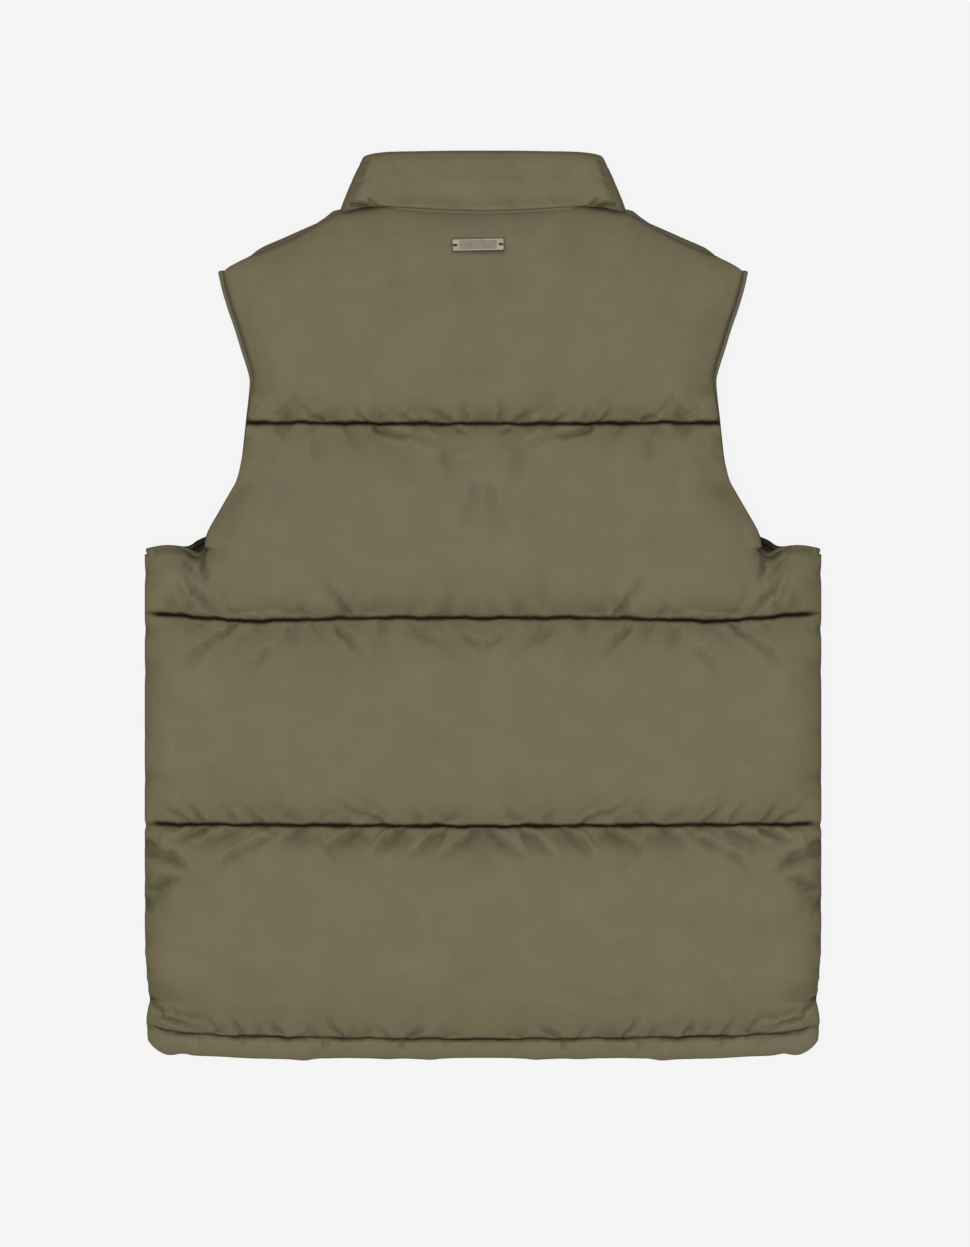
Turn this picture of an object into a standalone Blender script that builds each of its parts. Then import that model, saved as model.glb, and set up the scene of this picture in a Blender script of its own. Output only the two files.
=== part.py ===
"""Quilted padded vest with a stand collar and a closed zip, lying flat on its front.

Frame: the origin is on the floor under the middle of the outline, +X across the vest, +Y from hem to collar and
+Z up through the layers. Sizes are millimetres, "up" is the height above the hem edge at the centre back, and
"across" is the distance from the centre line. Meshes are made in metres.
"""

import math

import bmesh
import bpy
import numpy as np

MM = 0.001

# Driving sizes
LENGTH = 745.8              # hem edge to collar top, at the centre back
HALF_CHEST = 277.2          # centre line to the side fold
SEAM_GAP = 0.3              # between pieces that a seam joins
LAYER_GAP = 0.4             # between the back and the fronts that it lies on
MID_HEIGHT = 19.0           # floor to the inside of the back
HEM_DROOP = 9.0             # how far the thin hem sinks towards the floor
HEM_DROOP_REACH = 75.0
COLLAR_DROOP = 5.0          # how far the thin collar sinks
COLLAR_DROOP_START = 640.0
BINDING_WIDTH = 4.2         # bound armhole edge, seen flat
BINDING_THICKNESS = 3.6
ZIP_HALF_GAP = 6.0          # centre line to each front's edge
EDGE = 2.2                  # wall at a seamed or bound edge
ZIP_EDGE = 5.0              # wall of a front beside the zip
GROOVE = 4.5                # wall at a quilt line
BACK_CROWN = 22.0           # wall at the middle of a back baffle
FRONT_CROWN = 27.0          # fill of a front baffle, before the floor flattens it
HEM_CROWN = 8.5
BAFFLE_POWER = 2.5          # how square the baffles' section is
EDGE_REACH = 34.0           # width of the rounding along the sides and armholes
ZIP_REACH = 26.0            # and along the zip
EDGE_POWER = 2.2            # how square that rounding is

# Faces of a panel's grid: rows in the hem channel, the two lower baffles, below and above the underarm corner of
# the next, and in the top one; columns as shares from the centre to the armhole, and from there to the side fold
BACK_ROWS = (3, 12, 12, 5, 10, 13)
BACK_COLUMNS = tuple(0.88 * k / 17 for k in range(17)) + (0.88, 0.93, 0.965, 0.99, 1.0)
BACK_SIDE_COLUMNS = (0, 0.24, 0.46, 0.66, 0.84, 0.94, 1.0)
FRONT_ROWS = (3, 8, 8, 4, 9, 10)
FRONT_COLUMNS = (0, 0.012, 0.045) + tuple(0.11 + 0.77 * k / 8 for k in range(9)) + (0.93, 0.965, 0.99, 1.0)
FRONT_SIDE_COLUMNS = (0, 0.32, 0.6, 0.84, 0.94, 1.0)

# Seam lines of the panels, from hem to collar: across, up
HEM_EDGE = (
    (0, 0.9), (75, 0.5), (150, 0.0), (191, 1.0), (224, 2.6), (250, 3.8), (262, 5.4), (268, 8.0), (277.2, 15.0),
)
HEM_LINE = ((0, 17.2), (70, 18.2), (134.5, 19.7), (190, 21.0), (231.2, 22.6), (277.2, 28.6))
QUILT_3 = ((0, 192.3), (140, 193.2), (277.2, 194.3))
QUILT_2 = ((0, 362.0), (95, 362.0), (161.5, 360.2), (200, 359.6), (219.8, 361.6), (277.2, 366.3))
QUILT_1 = ((0, 521.9), (100, 521.9), (217, 521.9))
BACK_TOP = (
    (0, 694.0), (40, 694.2), (80, 695.0), (100, 695.4), (108, 695.0), (114, 693.4), (125.5, 687.9),
    (150, 674.6), (165, 667.5), (181, 660.6), (194, 656.6), (204, 652.8), (214, 647.2),
)
FRONT_NECK = (
    (6.0, 619.5), (14, 619.8), (28, 622.5), (45, 629.5), (62, 641), (78, 657), (92, 673.5), (104, 688.0), (111, 694.8),
)
FRONT_SHOULDER = (
    (119, 697.2), (125.5, 693.8), (138.6, 685.7), (151.7, 679.2), (164.8, 673.4), (177.9, 667.7),
    (184.5, 664.2), (190, 659.6), (197.6, 656.0), (205, 652.2), (214, 647.0),
)

# Outer edge of the armhole binding, from the shoulder tip down to the underarm corner: across, up
BACK_ARMHOLE = (
    (216.8, 643.5), (214.0, 631.0), (209.1, 614.6), (203.4, 598.2), (198.4, 581.8), (193.2, 565.4), (191.3, 556.0),
    (192.4, 540.8), (194.3, 524.4), (196.0, 508.0), (198.0, 491.6), (202.0, 475.2), (207.4, 465.0), (215.7, 450.6),
    (225.0, 434.2), (228.4, 424.0), (230.0, 416.5), (233.5, 413.4),
)
FRONT_ARMHOLE = (
    (216.8, 643.5), (212.8, 631.0), (206.7, 614.6), (200.4, 598.2), (194.9, 581.8), (189.8, 565.4), (188.0, 556.0),
    (189.0, 540.8), (190.8, 524.4), (192.8, 508.0), (195.6, 491.6), (201.0, 475.2), (206.6, 463.0), (214.0, 449.0),
    (220.4, 436.4), (225.5, 428.6),
)
# On from that corner to the side fold: across, up
BACK_UNDERARM = ((238.5, 416.6), (247.0, 420.4), (258.3, 421.9), (268.0, 421.0), (274.0, 418.8), (277.0, 414.0))
FRONT_UNDERARM = (
    (232.5, 424.2), (240.3, 421.0), (249.0, 421.0), (258.3, 421.7), (268.0, 421.0), (274.0, 418.8), (277.0, 414.0),
)
# Side fold, with the slight waist above the hem: up, across
SIDE = (
    (0, 266.0), (9, 270.4), (16, 274.4), (24, 275.8), (32, 276.2), (40, 275.2), (48.8, 273.4), (58, 274.7),
    (66, 275.6), (84, 276.4), (115, 277.2), (430, 277.2),
)

# Collar, from the middle of the neck to the side fold and on to the centre front, at the wall's inner face
COLLAR_BACK = (  # base across, base up, top across, top up
    (0.0, 694.6, 0.0, 745.8),
    (35.0, 694.8, 30.0, 745.8),
    (70.0, 695.5, 59.0, 745.5),
    (92.0, 696.2, 78.0, 744.6),
    (104.0, 697.4, 88.0, 742.6),
    (111.6, 699.0, 94.0, 738.8),
)
COLLAR_FRONT = (
    (111.6, 699.0, 94.0, 738.8),
    (104.6, 690.6, 88.0, 731.5),
    (92.0, 675.3, 77.0, 719.0),
    (72.0, 652.4, 61.0, 702.0),
    (48.0, 632.6, 42.0, 686.5),
    (26.0, 623.4, 22.0, 675.5),
    (6.0, 620.0, 6.0, 671.5),
)
COLLAR_EDGE = 4.2
COLLAR_CROWN = 10.0
COLLAR_FOLD = 5.4           # wall at the middle of the side folds, where the collar is pressed flat
COLLAR_POWER = 2.2          # how square the collar's section is
COLLAR_SHARES = (0, 0.03, 0.1, 0.25, 0.5, 0.75, 0.9, 0.97, 1)   # points from its base to its top
COLLAR_LINING = 0.1         # the inner face off the layer between back and front
FOLD_TURNS = (62, 32, 0, -32, -62)                              # degrees round a side fold
FOLD_START = 0.55           # fill beside a fold, from 0 as at the fold to 1

# Zip
TAPE_INNER = 0.5            # centre line to the tape's inner edge
TAPE_THICKNESS = 1.1
TAPE_DEPTH = 2.6            # inside of the back down to the middle of the tape
TAPE_SPLAY = 1.6            # tape's inner edge beside the slider's post
TAPE_START = 3.0            # ends of the tape above the hem edge
TAPE_END = 670.0
SLIDER_UP = 658.0
SLIDER_LENGTH = 11.0
SLIDER_WIDTH = 9.0
SLIDER_CORNER = 2.2
SLIDER_TAPER = 0.82         # its width at the hem end, as a share of the other
WING_THICKNESS = 1.2
POST_HALF_WIDTH = 1.1
POST_HALF_LENGTH = 1.6
POST_CORNER = 0.5
POST_AHEAD = 2.6            # middle of the slider to the middle of the post
OVERLAP = 0.4               # depth that the slider's joined parts go into each other
BAIL_LENGTH = 5.6
BAIL_WIDTH = 2.4
BAIL_BAR = 0.9
BAIL_CORNER = 0.6
BAIL_LEG_CORNER = 0.2
BAIL_LEG_INSET = 0.15       # legs in from the bar's long edges
BAIL_LEG_OVERLAP = 0.3
BAIL_OPENING = 2.1          # height of the bail's opening over the wing
PULL_LENGTH = 27.0
PULL_WIDTH = 6.4
PULL_THICKNESS = 1.2
PULL_CORNER = 2.5           # cut corners of the tab, whose middle point lies PULL_CUT in from both edges
PULL_CUT = 0.8
PULL_PLAY = 0.5             # between the bail and the arms beside it
PULL_ARM = 1.1
PULL_BAR = 0.6              # half the cross bar that turns in the bail
PULL_EYE = 4.8              # from the hinge axis to the solid part of the tab

# Metal plate, centred left of the middle under the collar
PLATE_ACROSS = -4.0
PLATE_UP = 665.9
PLATE_LENGTH = 41.4
PLATE_WIDTH = 9.4
PLATE_THICKNESS = 1.3
PLATE_CORNER = 0.8
PLATE_TURN = math.radians(1.3)
PLATE_MARGIN = 1.0          # flat padding round the plate
PLATE_SEAT = 7.0            # and how far out from there it is pressed down

# Soft folds in the back: from across, up to across, up; half width, depth
BACK_FOLDS = (
    (238, 412, 219, 386, 5.0, 5.0),
    (219, 386, 204, 366, 4.0, 4.0),
    (231, 409, 228, 397, 4.0, 4.0),
    (207, 350, 243, 327, 5.0, 3.0),
    (178, 332, 190, 317, 5.0, 2.0),
    (122, 352, 100, 334, 5.0, 2.0),
    (84, 517, 58, 510, 4.0, 3.0),
    (178, 181, 212, 160, 5.5, 3.0),
    (140, 185, 100, 145, 5.5, 2.5),
    (80, 187, 91, 172, 4.5, 2.0),
    (57, 187, 71, 168, 4.5, 2.0),
    (24, 184, 38, 170, 4.5, 2.0),
    (209, 204, 197, 196, 4.0, 2.5),
    (126, 217, 97, 202, 5.0, 2.0),
    (272, 47, 218, 30, 4.5, 3.5),
    (187, 572, 172, 545, 6.0, 2.0),
    (195, 468, 222, 432, 6.0, 2.0),
)


def smooth(points, count=120):
    """Evenly spaced points on a smooth curve through the given ones."""
    p = np.array(points, float)
    p = np.vstack([2 * p[0] - p[1], p, 2 * p[-1] - p[-2]])
    found = []
    for a, b, c, d in zip(p[:-3], p[1:-2], p[2:-1], p[3:]):
        for t in np.linspace(0, 1, 24, endpoint=False):
            square = (2 * a - 5 * b + 4 * c - d) * t**2
            cube = (3 * b - a - 3 * c + d) * t**3
            found.append(0.5 * (2 * b + (c - a) * t + square + cube))
    found.append(p[-2])
    found = np.array(found)
    run = np.concatenate([[0], np.cumsum(np.linalg.norm(np.diff(found, axis=0), axis=1))])
    even = np.linspace(0, run[-1], count)
    return np.column_stack([np.interp(even, run, found[:, k]) for k in range(found.shape[1])])


def normals(curve):
    """Unit normals of a flat curve, on its right-hand side."""
    along = np.gradient(curve, axis=0)
    along /= np.linalg.norm(along, axis=1)[:, None]
    return np.column_stack([along[:, 1], -along[:, 0]])


def offset(curve, distance):
    """The curve moved to its right-hand side and evened out."""
    moved = curve + normals(curve) * distance
    return smooth(moved[::4], len(curve))


def level(line, across):
    """Height of a seam line at a distance from the centre line."""
    return np.interp(np.abs(across), line[:, 0], line[:, 1])


def spread(count):
    """Shares from 0 to 1 that crowd towards both ends, where a baffle turns most."""
    return [(1 - math.cos(math.pi * k / count)) / 2 for k in range(count + 1)]


def mid(up):
    """Height over the floor of the inside layer between back and fronts."""
    hem = np.clip(1 - np.asarray(up, float) / HEM_DROOP_REACH, 0, 1)
    top = np.clip((np.asarray(up, float) - COLLAR_DROOP_START) / (LENGTH - COLLAR_DROOP_START), 0, 1)
    return MID_HEIGHT - HEM_DROOP * hem**1.6 - COLLAR_DROOP * top**1.5


def puff(share, power=BAFFLE_POWER):
    """Section of a filled channel: 0 at both seams and 1 at the middle."""
    return (1 - np.abs(2 * np.clip(share, 0, 1) - 1) ** power) ** (1 / power)


def nose(distance, reach=EDGE_REACH):
    """Rounding of a padded wall towards its free edge."""
    share = np.clip(distance / reach, 0, 1)
    return (1 - (1 - share) ** EDGE_POWER) ** (1 / EDGE_POWER)


def distance_to(curve, across, up):
    return np.min(np.hypot(curve[:, 0] - across, curve[:, 1] - up))


def fold_depth(folds, across, up):
    """Depth of the soft folds at a point, each a trough that fades at its ends."""
    depth = 0.0
    for x0, y0, x1, y1, width, deep in folds:
        run = np.array((x1 - x0, y1 - y0), float)
        share = float(np.clip(np.dot((across - x0, up - y0), run) / np.dot(run, run), 0, 1))
        away = math.hypot(across - x0 - share * run[0], up - y0 - share * run[1])
        depth += deep * math.exp(-((away / width) ** 2))
    return depth


class Panel:
    """Outline and section of a back or front: seam lines from hem to top, armhole and side fold."""

    def __init__(self, top, armhole, underarm, crown, folds):
        self.lines = [smooth(line) for line in (HEM_EDGE, HEM_LINE, QUILT_3, QUILT_2, QUILT_1)] + [top]
        self.crowns = (HEM_CROWN, crown, crown, crown, crown)
        self.folds = folds
        edge = offset(smooth(armhole + underarm, 201), BINDING_WIDTH + SEAM_GAP)
        turn = int(np.argmin(np.hypot(edge[:, 0] - armhole[-1][0], edge[:, 1] - armhole[-1][1])))
        self.edge = edge
        self.armhole = edge[: turn + 1][::-1]
        self.underarm = edge[turn:]
        self.join = float(edge[turn, 0])
        self.corner = float(edge[turn, 1])
        self.side = smooth(SIDE)

    def half_width(self, up):
        """Centre line to the armhole edge, or below the underarm corner to the start of the side block."""
        if up <= self.corner:
            return self.join
        return float(np.interp(up, self.armhole[:, 1], self.armhole[:, 0]))

    def wall(self, across, up):
        """Thickness of the padded wall at a point."""
        levels = [float(level(line, across)) for line in self.lines]
        band = max(0, min(4, int(np.searchsorted(levels, up)) - 1))
        share = (up - levels[band]) / (levels[band + 1] - levels[band])
        full = GROOVE + (self.crowns[band] - GROOVE) * puff(share)
        if self.folds:
            full -= fold_depth(self.folds, abs(across), up)
        to_armhole = distance_to(self.edge, abs(across), up)
        to_side = np.interp(up, self.side[:, 0], self.side[:, 1]) - abs(across)
        return EDGE + max(0.0, full - EDGE) * float(nose(to_armhole) * nose(to_side))


def grid(panel, inner, columns, rows, side_columns):
    """Points of half a panel: a central block up to the top and a side block up to the underarm.

    Returns {key: (across, up)}, the quads, each a ring of keys that runs anticlockwise seen from above, and the
    keys along the armhole from the shoulder tip round to the side fold.
    """
    split = (panel.corner - level(panel.lines[3], panel.join)) / (
        level(panel.lines[4], panel.join) - level(panel.lines[3], panel.join)
    )
    lower = [split * k / rows[3] for k in range(rows[3])]
    upper = [split + (1 - split) * t for t in spread(rows[4])]
    steps = [(band, t) for band in (0, 1, 2) for t in spread(rows[band])[:-1]]
    steps += [(3, t) for t in lower] + [(3, t) for t in upper[:-1]] + [(4, t) for t in spread(rows[5])]
    side_rows = sum(rows[:4])
    points, quads = {}, []
    for i, (band, t) in enumerate(steps):
        low, high = panel.lines[band], panel.lines[band + 1]
        width = panel.join
        for _ in range(6):
            edge_up = (1 - t) * level(low, width) + t * level(high, width)
            width = panel.half_width(edge_up)
        for j, u in enumerate(columns):
            across = inner + u * (width - inner)
            points["c", i, j] = (across, float((1 - t) * level(low, across) + t * level(high, across)))
    last = len(columns) - 1
    for i in range(len(steps) - 1):
        for j in range(last):
            quads.append((("c", i, j), ("c", i, j + 1), ("c", i + 1, j + 1), ("c", i + 1, j)))
    for i in range(side_rows + 1):
        band, t = steps[i]
        for j, s in enumerate(side_columns):
            if j == 0:
                continue
            ref = panel.join + s * (HALF_CHEST - panel.join)
            low, high = level(panel.lines[band], ref), level(panel.lines[min(band + 1, 4)], ref)
            up = (1 - t) * low + t * high
            if band == 3:
                up = (1 - t / split) * low + t / split * level(panel.underarm, ref)
            edge = float(np.interp(up, panel.side[:, 0], panel.side[:, 1]))
            points["s", i, j] = (panel.join + s * (edge - panel.join), float(up))

    def key(i, j):
        return ("c", i, last) if j == 0 else ("s", i, j)

    for i in range(side_rows):
        for j in range(len(side_columns) - 1):
            quads.append((key(i, j), key(i, j + 1), key(i + 1, j + 1), key(i + 1, j)))
    rim = [("c", i, last) for i in range(len(steps) - 1, side_rows - 1, -1)]
    rim += [("s", side_rows, j) for j in range(1, len(side_columns))]
    return points, quads, [points[k] for k in rim]


def material(name, colour, roughness, metallic=0.0):
    made = bpy.data.materials.get(name) or bpy.data.materials.new(name)
    made.use_nodes = True
    shader = made.node_tree.nodes["Principled BSDF"]
    shader.inputs["Base Color"].default_value = (*colour, 1.0)
    shader.inputs["Roughness"].default_value = roughness
    shader.inputs["Metallic"].default_value = metallic
    return made


def solid(name, points, faces, finish):
    """One closed object from points in millimetres measured from the hem, with its faces turned outwards."""
    mesh = bpy.data.meshes.new(name)
    moved = [(x * MM, (y - LENGTH / 2) * MM, z * MM) for x, y, z in points]
    mesh.from_pydata(moved, [], faces)
    bm = bmesh.new()
    bm.from_mesh(mesh)
    bmesh.ops.triangulate(bm, faces=bm.faces, quad_method="SHORT_EDGE")
    bmesh.ops.recalc_face_normals(bm, faces=bm.faces)
    bm.to_mesh(mesh)
    bm.free()
    mesh.shade_smooth()
    mesh.set_sharp_from_angle(angle=math.radians(50))
    mesh.materials.append(finish)
    made = bpy.data.objects.new(name, mesh)
    bpy.context.scene.collection.objects.link(made)
    return made


def two_faced(name, outer, inner, quads, finish):
    """A wall whose two faces share one grid, closed along every free edge."""
    keys = list(outer)
    index = {key: n for n, key in enumerate(keys)}
    total = len(keys)
    points = [outer[key] for key in keys] + [inner[key] for key in keys]
    faces, seen = [], {}
    for quad in quads:
        ring = [index[key] for key in quad]
        faces.append(tuple(ring))
        faces.append(tuple(n + total for n in reversed(ring)))
        for a, b in zip(ring, ring[1:] + ring[:1]):
            seen[(a, b)] = True
    for a, b in seen:
        if (b, a) not in seen:
            faces.append((b, a, a + total, b + total))
    return solid(name, points, faces, finish)


def tube(name, path, side, across_radius, up_radius, finish, corners=6):
    """A closed ring of oval section along a closed path, whose section keeps the given side directions."""
    path, side = np.array(path, float), np.array(side, float)
    ahead = np.roll(path, -1, axis=0) - np.roll(path, 1, axis=0)
    ahead /= np.linalg.norm(ahead, axis=1)[:, None]
    side = side - ahead * np.sum(side * ahead, axis=1)[:, None]
    side /= np.linalg.norm(side, axis=1)[:, None]
    rise = np.cross(ahead, side)
    points, faces = [], []
    for p, s, r in zip(path, side, rise):
        for k in range(corners):
            turn = 2 * math.pi * (k + 0.5) / corners
            points.append(p + s * across_radius * math.cos(turn) + r * up_radius * math.sin(turn))
    count = len(path)
    for i in range(count):
        for k in range(corners):
            a, b = i * corners + k, i * corners + (k + 1) % corners
            c, d = (i + 1) % count * corners + (k + 1) % corners, (i + 1) % count * corners + k
            faces.append((a, b, c, d))
    return solid(name, points, faces, finish)


def plate_frame(surface_up):
    """Centre, length, width and outward directions of the metal plate, which follows the slope of the yoke."""
    low = surface_up(PLATE_ACROSS, PLATE_UP - PLATE_WIDTH / 2)
    high = surface_up(PLATE_ACROSS, PLATE_UP + PLATE_WIDTH / 2)
    slope = math.atan2(high - low, PLATE_WIDTH)
    uphill = np.array((0.0, math.cos(slope), math.sin(slope)))
    level_way = np.array((1.0, 0.0, 0.0))
    length = level_way * math.cos(PLATE_TURN) + uphill * math.sin(PLATE_TURN)
    width = uphill * math.cos(PLATE_TURN) - level_way * math.sin(PLATE_TURN)
    centre = np.array((PLATE_ACROSS, PLATE_UP, (low + high) / 2))
    return centre, length, width, np.cross(length, width)


def make_back(cloth):
    panel = Panel(smooth(BACK_TOP, 161), BACK_ARMHOLE, BACK_UNDERARM, BACK_CROWN, BACK_FOLDS)

    def surface(across, up):
        return float(mid(up)) + LAYER_GAP / 2 + panel.wall(across, up)

    seat = plate_frame(surface)

    def seated(across, up):
        """The outer face, pressed flat under the plate."""
        centre, length, width, out = seat
        plane = centre[2] - (out[0] * (across - centre[0]) + out[1] * (up - centre[1])) / out[2]
        past_end = max(0.0, abs(across - centre[0]) - PLATE_LENGTH / 2 - PLATE_MARGIN)
        past_side = max(0.0, abs(up - centre[1]) - PLATE_WIDTH / 2 - PLATE_MARGIN)
        pressed = max(0.0, 1 - math.hypot(past_end, past_side) / PLATE_SEAT)
        pressed = pressed * pressed * (3 - 2 * pressed)
        return surface(across, up) * (1 - pressed) + plane * pressed

    def left_key(key):
        """The left half's own point, or on the centre line the one that both halves share."""
        return (1, key) if key[0] == "c" and key[2] == 0 else (-1, key)

    half, quads, rim = grid(panel, 0.0, BACK_COLUMNS, BACK_ROWS, BACK_SIDE_COLUMNS)
    outer, inner, all_quads = {}, {}, []
    for key, (across, up) in half.items():
        for hand, own_key in ((1, (1, key)), (-1, left_key(key))):
            if own_key in outer:
                continue
            outer[own_key] = (hand * across, up, seated(hand * across, up))
            inner[own_key] = (hand * across, up, float(mid(up)) + LAYER_GAP / 2)
    for quad in quads:
        all_quads.append(tuple((1, key) for key in quad))
        all_quads.append(tuple(left_key(key) for key in reversed(quad)))
    two_faced("back", outer, inner, all_quads, cloth)
    return rim, seat


def make_front(hand, cloth):
    top = np.vstack([smooth(FRONT_NECK, 60), smooth(FRONT_SHOULDER, 90)])
    panel = Panel(top, FRONT_ARMHOLE, FRONT_UNDERARM, FRONT_CROWN, ())

    def outer_face(across, up):
        """The face on the floor: pressed flat at the baffles, and up off the floor at seams and edges."""
        full = panel.wall(across, up)
        beside_zip = ZIP_EDGE + (full - ZIP_EDGE) * float(nose(across - ZIP_HALF_GAP, ZIP_REACH))
        wall = max(full if full < ZIP_EDGE else beside_zip, EDGE)
        return max(0.0, float(mid(up)) - LAYER_GAP / 2 - wall)

    half, quads, rim = grid(panel, ZIP_HALF_GAP, FRONT_COLUMNS, FRONT_ROWS, FRONT_SIDE_COLUMNS)
    outer, inner = {}, {}
    for key, (across, up) in half.items():
        outer[key] = (hand * across, up, outer_face(across, up))
        inner[key] = (hand * across, up, float(mid(up)) - LAYER_GAP / 2)
    two_faced("front_left" if hand < 0 else "front_right", outer, inner, quads, cloth)
    return rim


def beside(rim, distance):
    """Points at a distance outside the armhole rim, and the directions in which they lie."""
    rim = np.array(rim, float)
    step = np.diff(rim, axis=0)
    step /= np.linalg.norm(step, axis=1)[:, None]
    before, after = np.vstack([step[:1], step]), np.vstack([step, step[-1:]])
    out = np.column_stack([-(before + after)[:, 1], (before + after)[:, 0]])
    out /= np.linalg.norm(out, axis=1)[:, None]
    stretch = 1 / np.maximum(0.6, np.sum(out * np.column_stack([-after[:, 1], after[:, 0]]), axis=1))
    return rim + out * (distance * stretch)[:, None], out


def make_binding(hand, back, front, cloth):
    """One closed loop: down the back's armhole edge, round the side fold, and back up the front's."""
    runs = []
    for rim, rise in ((back, 1), (front, -1)):
        line, out = beside(rim, SEAM_GAP + BINDING_WIDTH / 2)
        line, out = line[2:-2], out[2:-2]
        height = mid(line[:, 1]) + rise * (LAYER_GAP / 2 + BINDING_THICKNESS / 2)
        path = np.column_stack([line, height])
        runs.append((path, np.column_stack([out, np.zeros(len(out))])))
    (down, down_side), (up, up_side) = runs[0], runs[1]
    up, up_side = up[::-1], up_side[::-1]
    radius = (LAYER_GAP + BINDING_THICKNESS) / 2

    def turn(start, before, end):
        """Half a turn from the end of one run to the start of the other."""
        ahead = (start - before) / np.linalg.norm(start - before)
        centre = (start + end) / 2
        swing = (start - end) / 2
        angles = (math.pi / 4, math.pi / 2, 3 * math.pi / 4)
        return [centre + swing * math.cos(a) + ahead * radius * math.sin(a) for a in angles]

    at_side = turn(down[-1], down[-2], up[0])
    at_tip = turn(up[-1], up[-2], down[0])
    path = np.vstack([down, at_side, up, at_tip])
    side = np.vstack([down_side, [down_side[-1]] * 3, up_side, [up_side[-1]] * 3])
    path[:, 0] *= hand
    side[:, 0] *= hand
    name = "armhole_binding_left" if hand < 0 else "armhole_binding_right"
    return tube(name, path, side, BINDING_WIDTH / 2, BINDING_THICKNESS / 2, cloth)


def make_collar(cloth):
    """One padded wall, flattened: across the back of the neck, round each side fold and on to the zip."""
    back, front = smooth(COLLAR_BACK, 9), smooth(COLLAR_FRONT, 10)
    stations = [(row, math.pi / 2, 1.0) for row in back[:-1]]
    stations += [(back[-1], math.pi / 2, FOLD_START)]
    stations += [(back[-1], math.radians(turn), 0.0) for turn in FOLD_TURNS]
    stations += [(front[0], -math.pi / 2, FOLD_START)]
    stations += [(row, -math.pi / 2, 1.0) for row in front[1:]]
    points, sections = [], []
    for hand in (-1, 1):
        picked = stations[::-1] if hand < 0 else stations[1:]
        for row, angle, fill in picked:
            base, top = np.array((row[0], row[1])), np.array((row[2], row[3]))
            crown = COLLAR_FOLD + (COLLAR_CROWN - COLLAR_FOLD) * fill
            outer_face = []
            for share in COLLAR_SHARES:
                swell = float(puff(share, COLLAR_POWER))
                outer_face.append((share, COLLAR_EDGE + (crown - COLLAR_EDGE) * swell))
            inner_face = [(share, COLLAR_LINING) for share in (1, 0.5, 0)]
            sections.append(len(points))
            for share, wall in outer_face + inner_face:
                across, up = base + (top - base) * share
                away = LAYER_GAP / 2 + wall
                across = hand * (across + away * math.cos(angle))
                points.append((across, up, float(mid(up)) + away * math.sin(angle)))
    size = len(COLLAR_SHARES) + 3
    faces = []
    for a, b in zip(sections, sections[1:]):
        for k in range(size):
            n = (k + 1) % size
            faces.append((a + k, a + n, b + n, b + k))
    faces.append(tuple(sections[0] + k for k in reversed(range(size))))
    faces.append(tuple(sections[-1] + k for k in range(size)))
    return solid("collar", points, faces, cloth)


def make_tape(hand, cloth):
    """Zip tape from the hem to the collar top, splayed beside the slider's post."""
    open_from = SLIDER_UP - SLIDER_LENGTH / 2
    ups = [TAPE_START, 10, 20, 32, 46, 60, HEM_DROOP_REACH, 200, 400, 600, COLLAR_DROOP_START]
    ups += [open_from - 1, open_from + 2, TAPE_END]
    points, faces = [], []
    for up in ups:
        inner = TAPE_SPLAY if up > open_from else TAPE_INNER
        outer = ZIP_HALF_GAP - SEAM_GAP
        height = float(mid(up)) - TAPE_DEPTH
        for x, z in ((inner, -1), (outer, -1), (outer, 1), (inner, 1)):
            points.append((hand * x, up, height + z * TAPE_THICKNESS / 2))
    for a in range(0, 4 * (len(ups) - 1), 4):
        for k in range(4):
            n = (k + 1) % 4
            faces.append((a + k, a + n, a + n + 4, a + k + 4))
    faces.append((0, 3, 2, 1))
    faces.append(tuple(len(points) - 4 + k for k in range(4)))
    return solid("zip_tape_left" if hand < 0 else "zip_tape_right", points, faces, cloth)


def joined(name, parts, place):
    """Several closed shapes, made round their own origin, united into one object and put in its place."""
    base = parts[0]
    for part in parts[1:]:
        union = base.modifiers.new("union", "BOOLEAN")
        union.operation = "UNION"
        union.object = part
        part.hide_render = True
        part.display_type = "WIRE"
    for part in parts:
        part.location = place
    base.name = name
    return base


def rounded_outline(half_length, half_width, corner, steps=4):
    """Rounded rectangle, anticlockwise."""
    ring = []
    for right, upper, start in ((1, 1, 0), (-1, 1, 90), (-1, -1, 180), (1, -1, 270)):
        middle_x = right * (half_length - corner)
        middle_y = upper * (half_width - corner)
        for k in range(steps + 1):
            a = math.radians(start + 90 * k / steps)
            ring.append((middle_x + corner * math.cos(a), middle_y + corner * math.sin(a)))
    return ring


def slab(name, ring, bottom, top, finish, ahead=0.0):
    """An upright slab of the given outline between two heights, round its own origin."""
    count = len(ring)
    points = [(x, LENGTH / 2 + ahead + y, z) for z in (bottom, top) for x, y in ring]
    faces = [tuple(reversed(range(count))), tuple(range(count, 2 * count))]
    faces += [(k, (k + 1) % count, count + (k + 1) % count, count + k) for k in range(count)]
    return solid(name, points, faces, finish)


def slider_place():
    """The slider's own origin: on the pull's hinge axis, between the outer wing and the bail's bar."""
    wing = float(mid(SLIDER_UP)) - TAPE_DEPTH - TAPE_THICKNESS / 2 - SEAM_GAP - WING_THICKNESS
    return (0.0, (SLIDER_UP - LENGTH / 2) * MM, (wing - BAIL_OPENING / 2) * MM)


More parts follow.
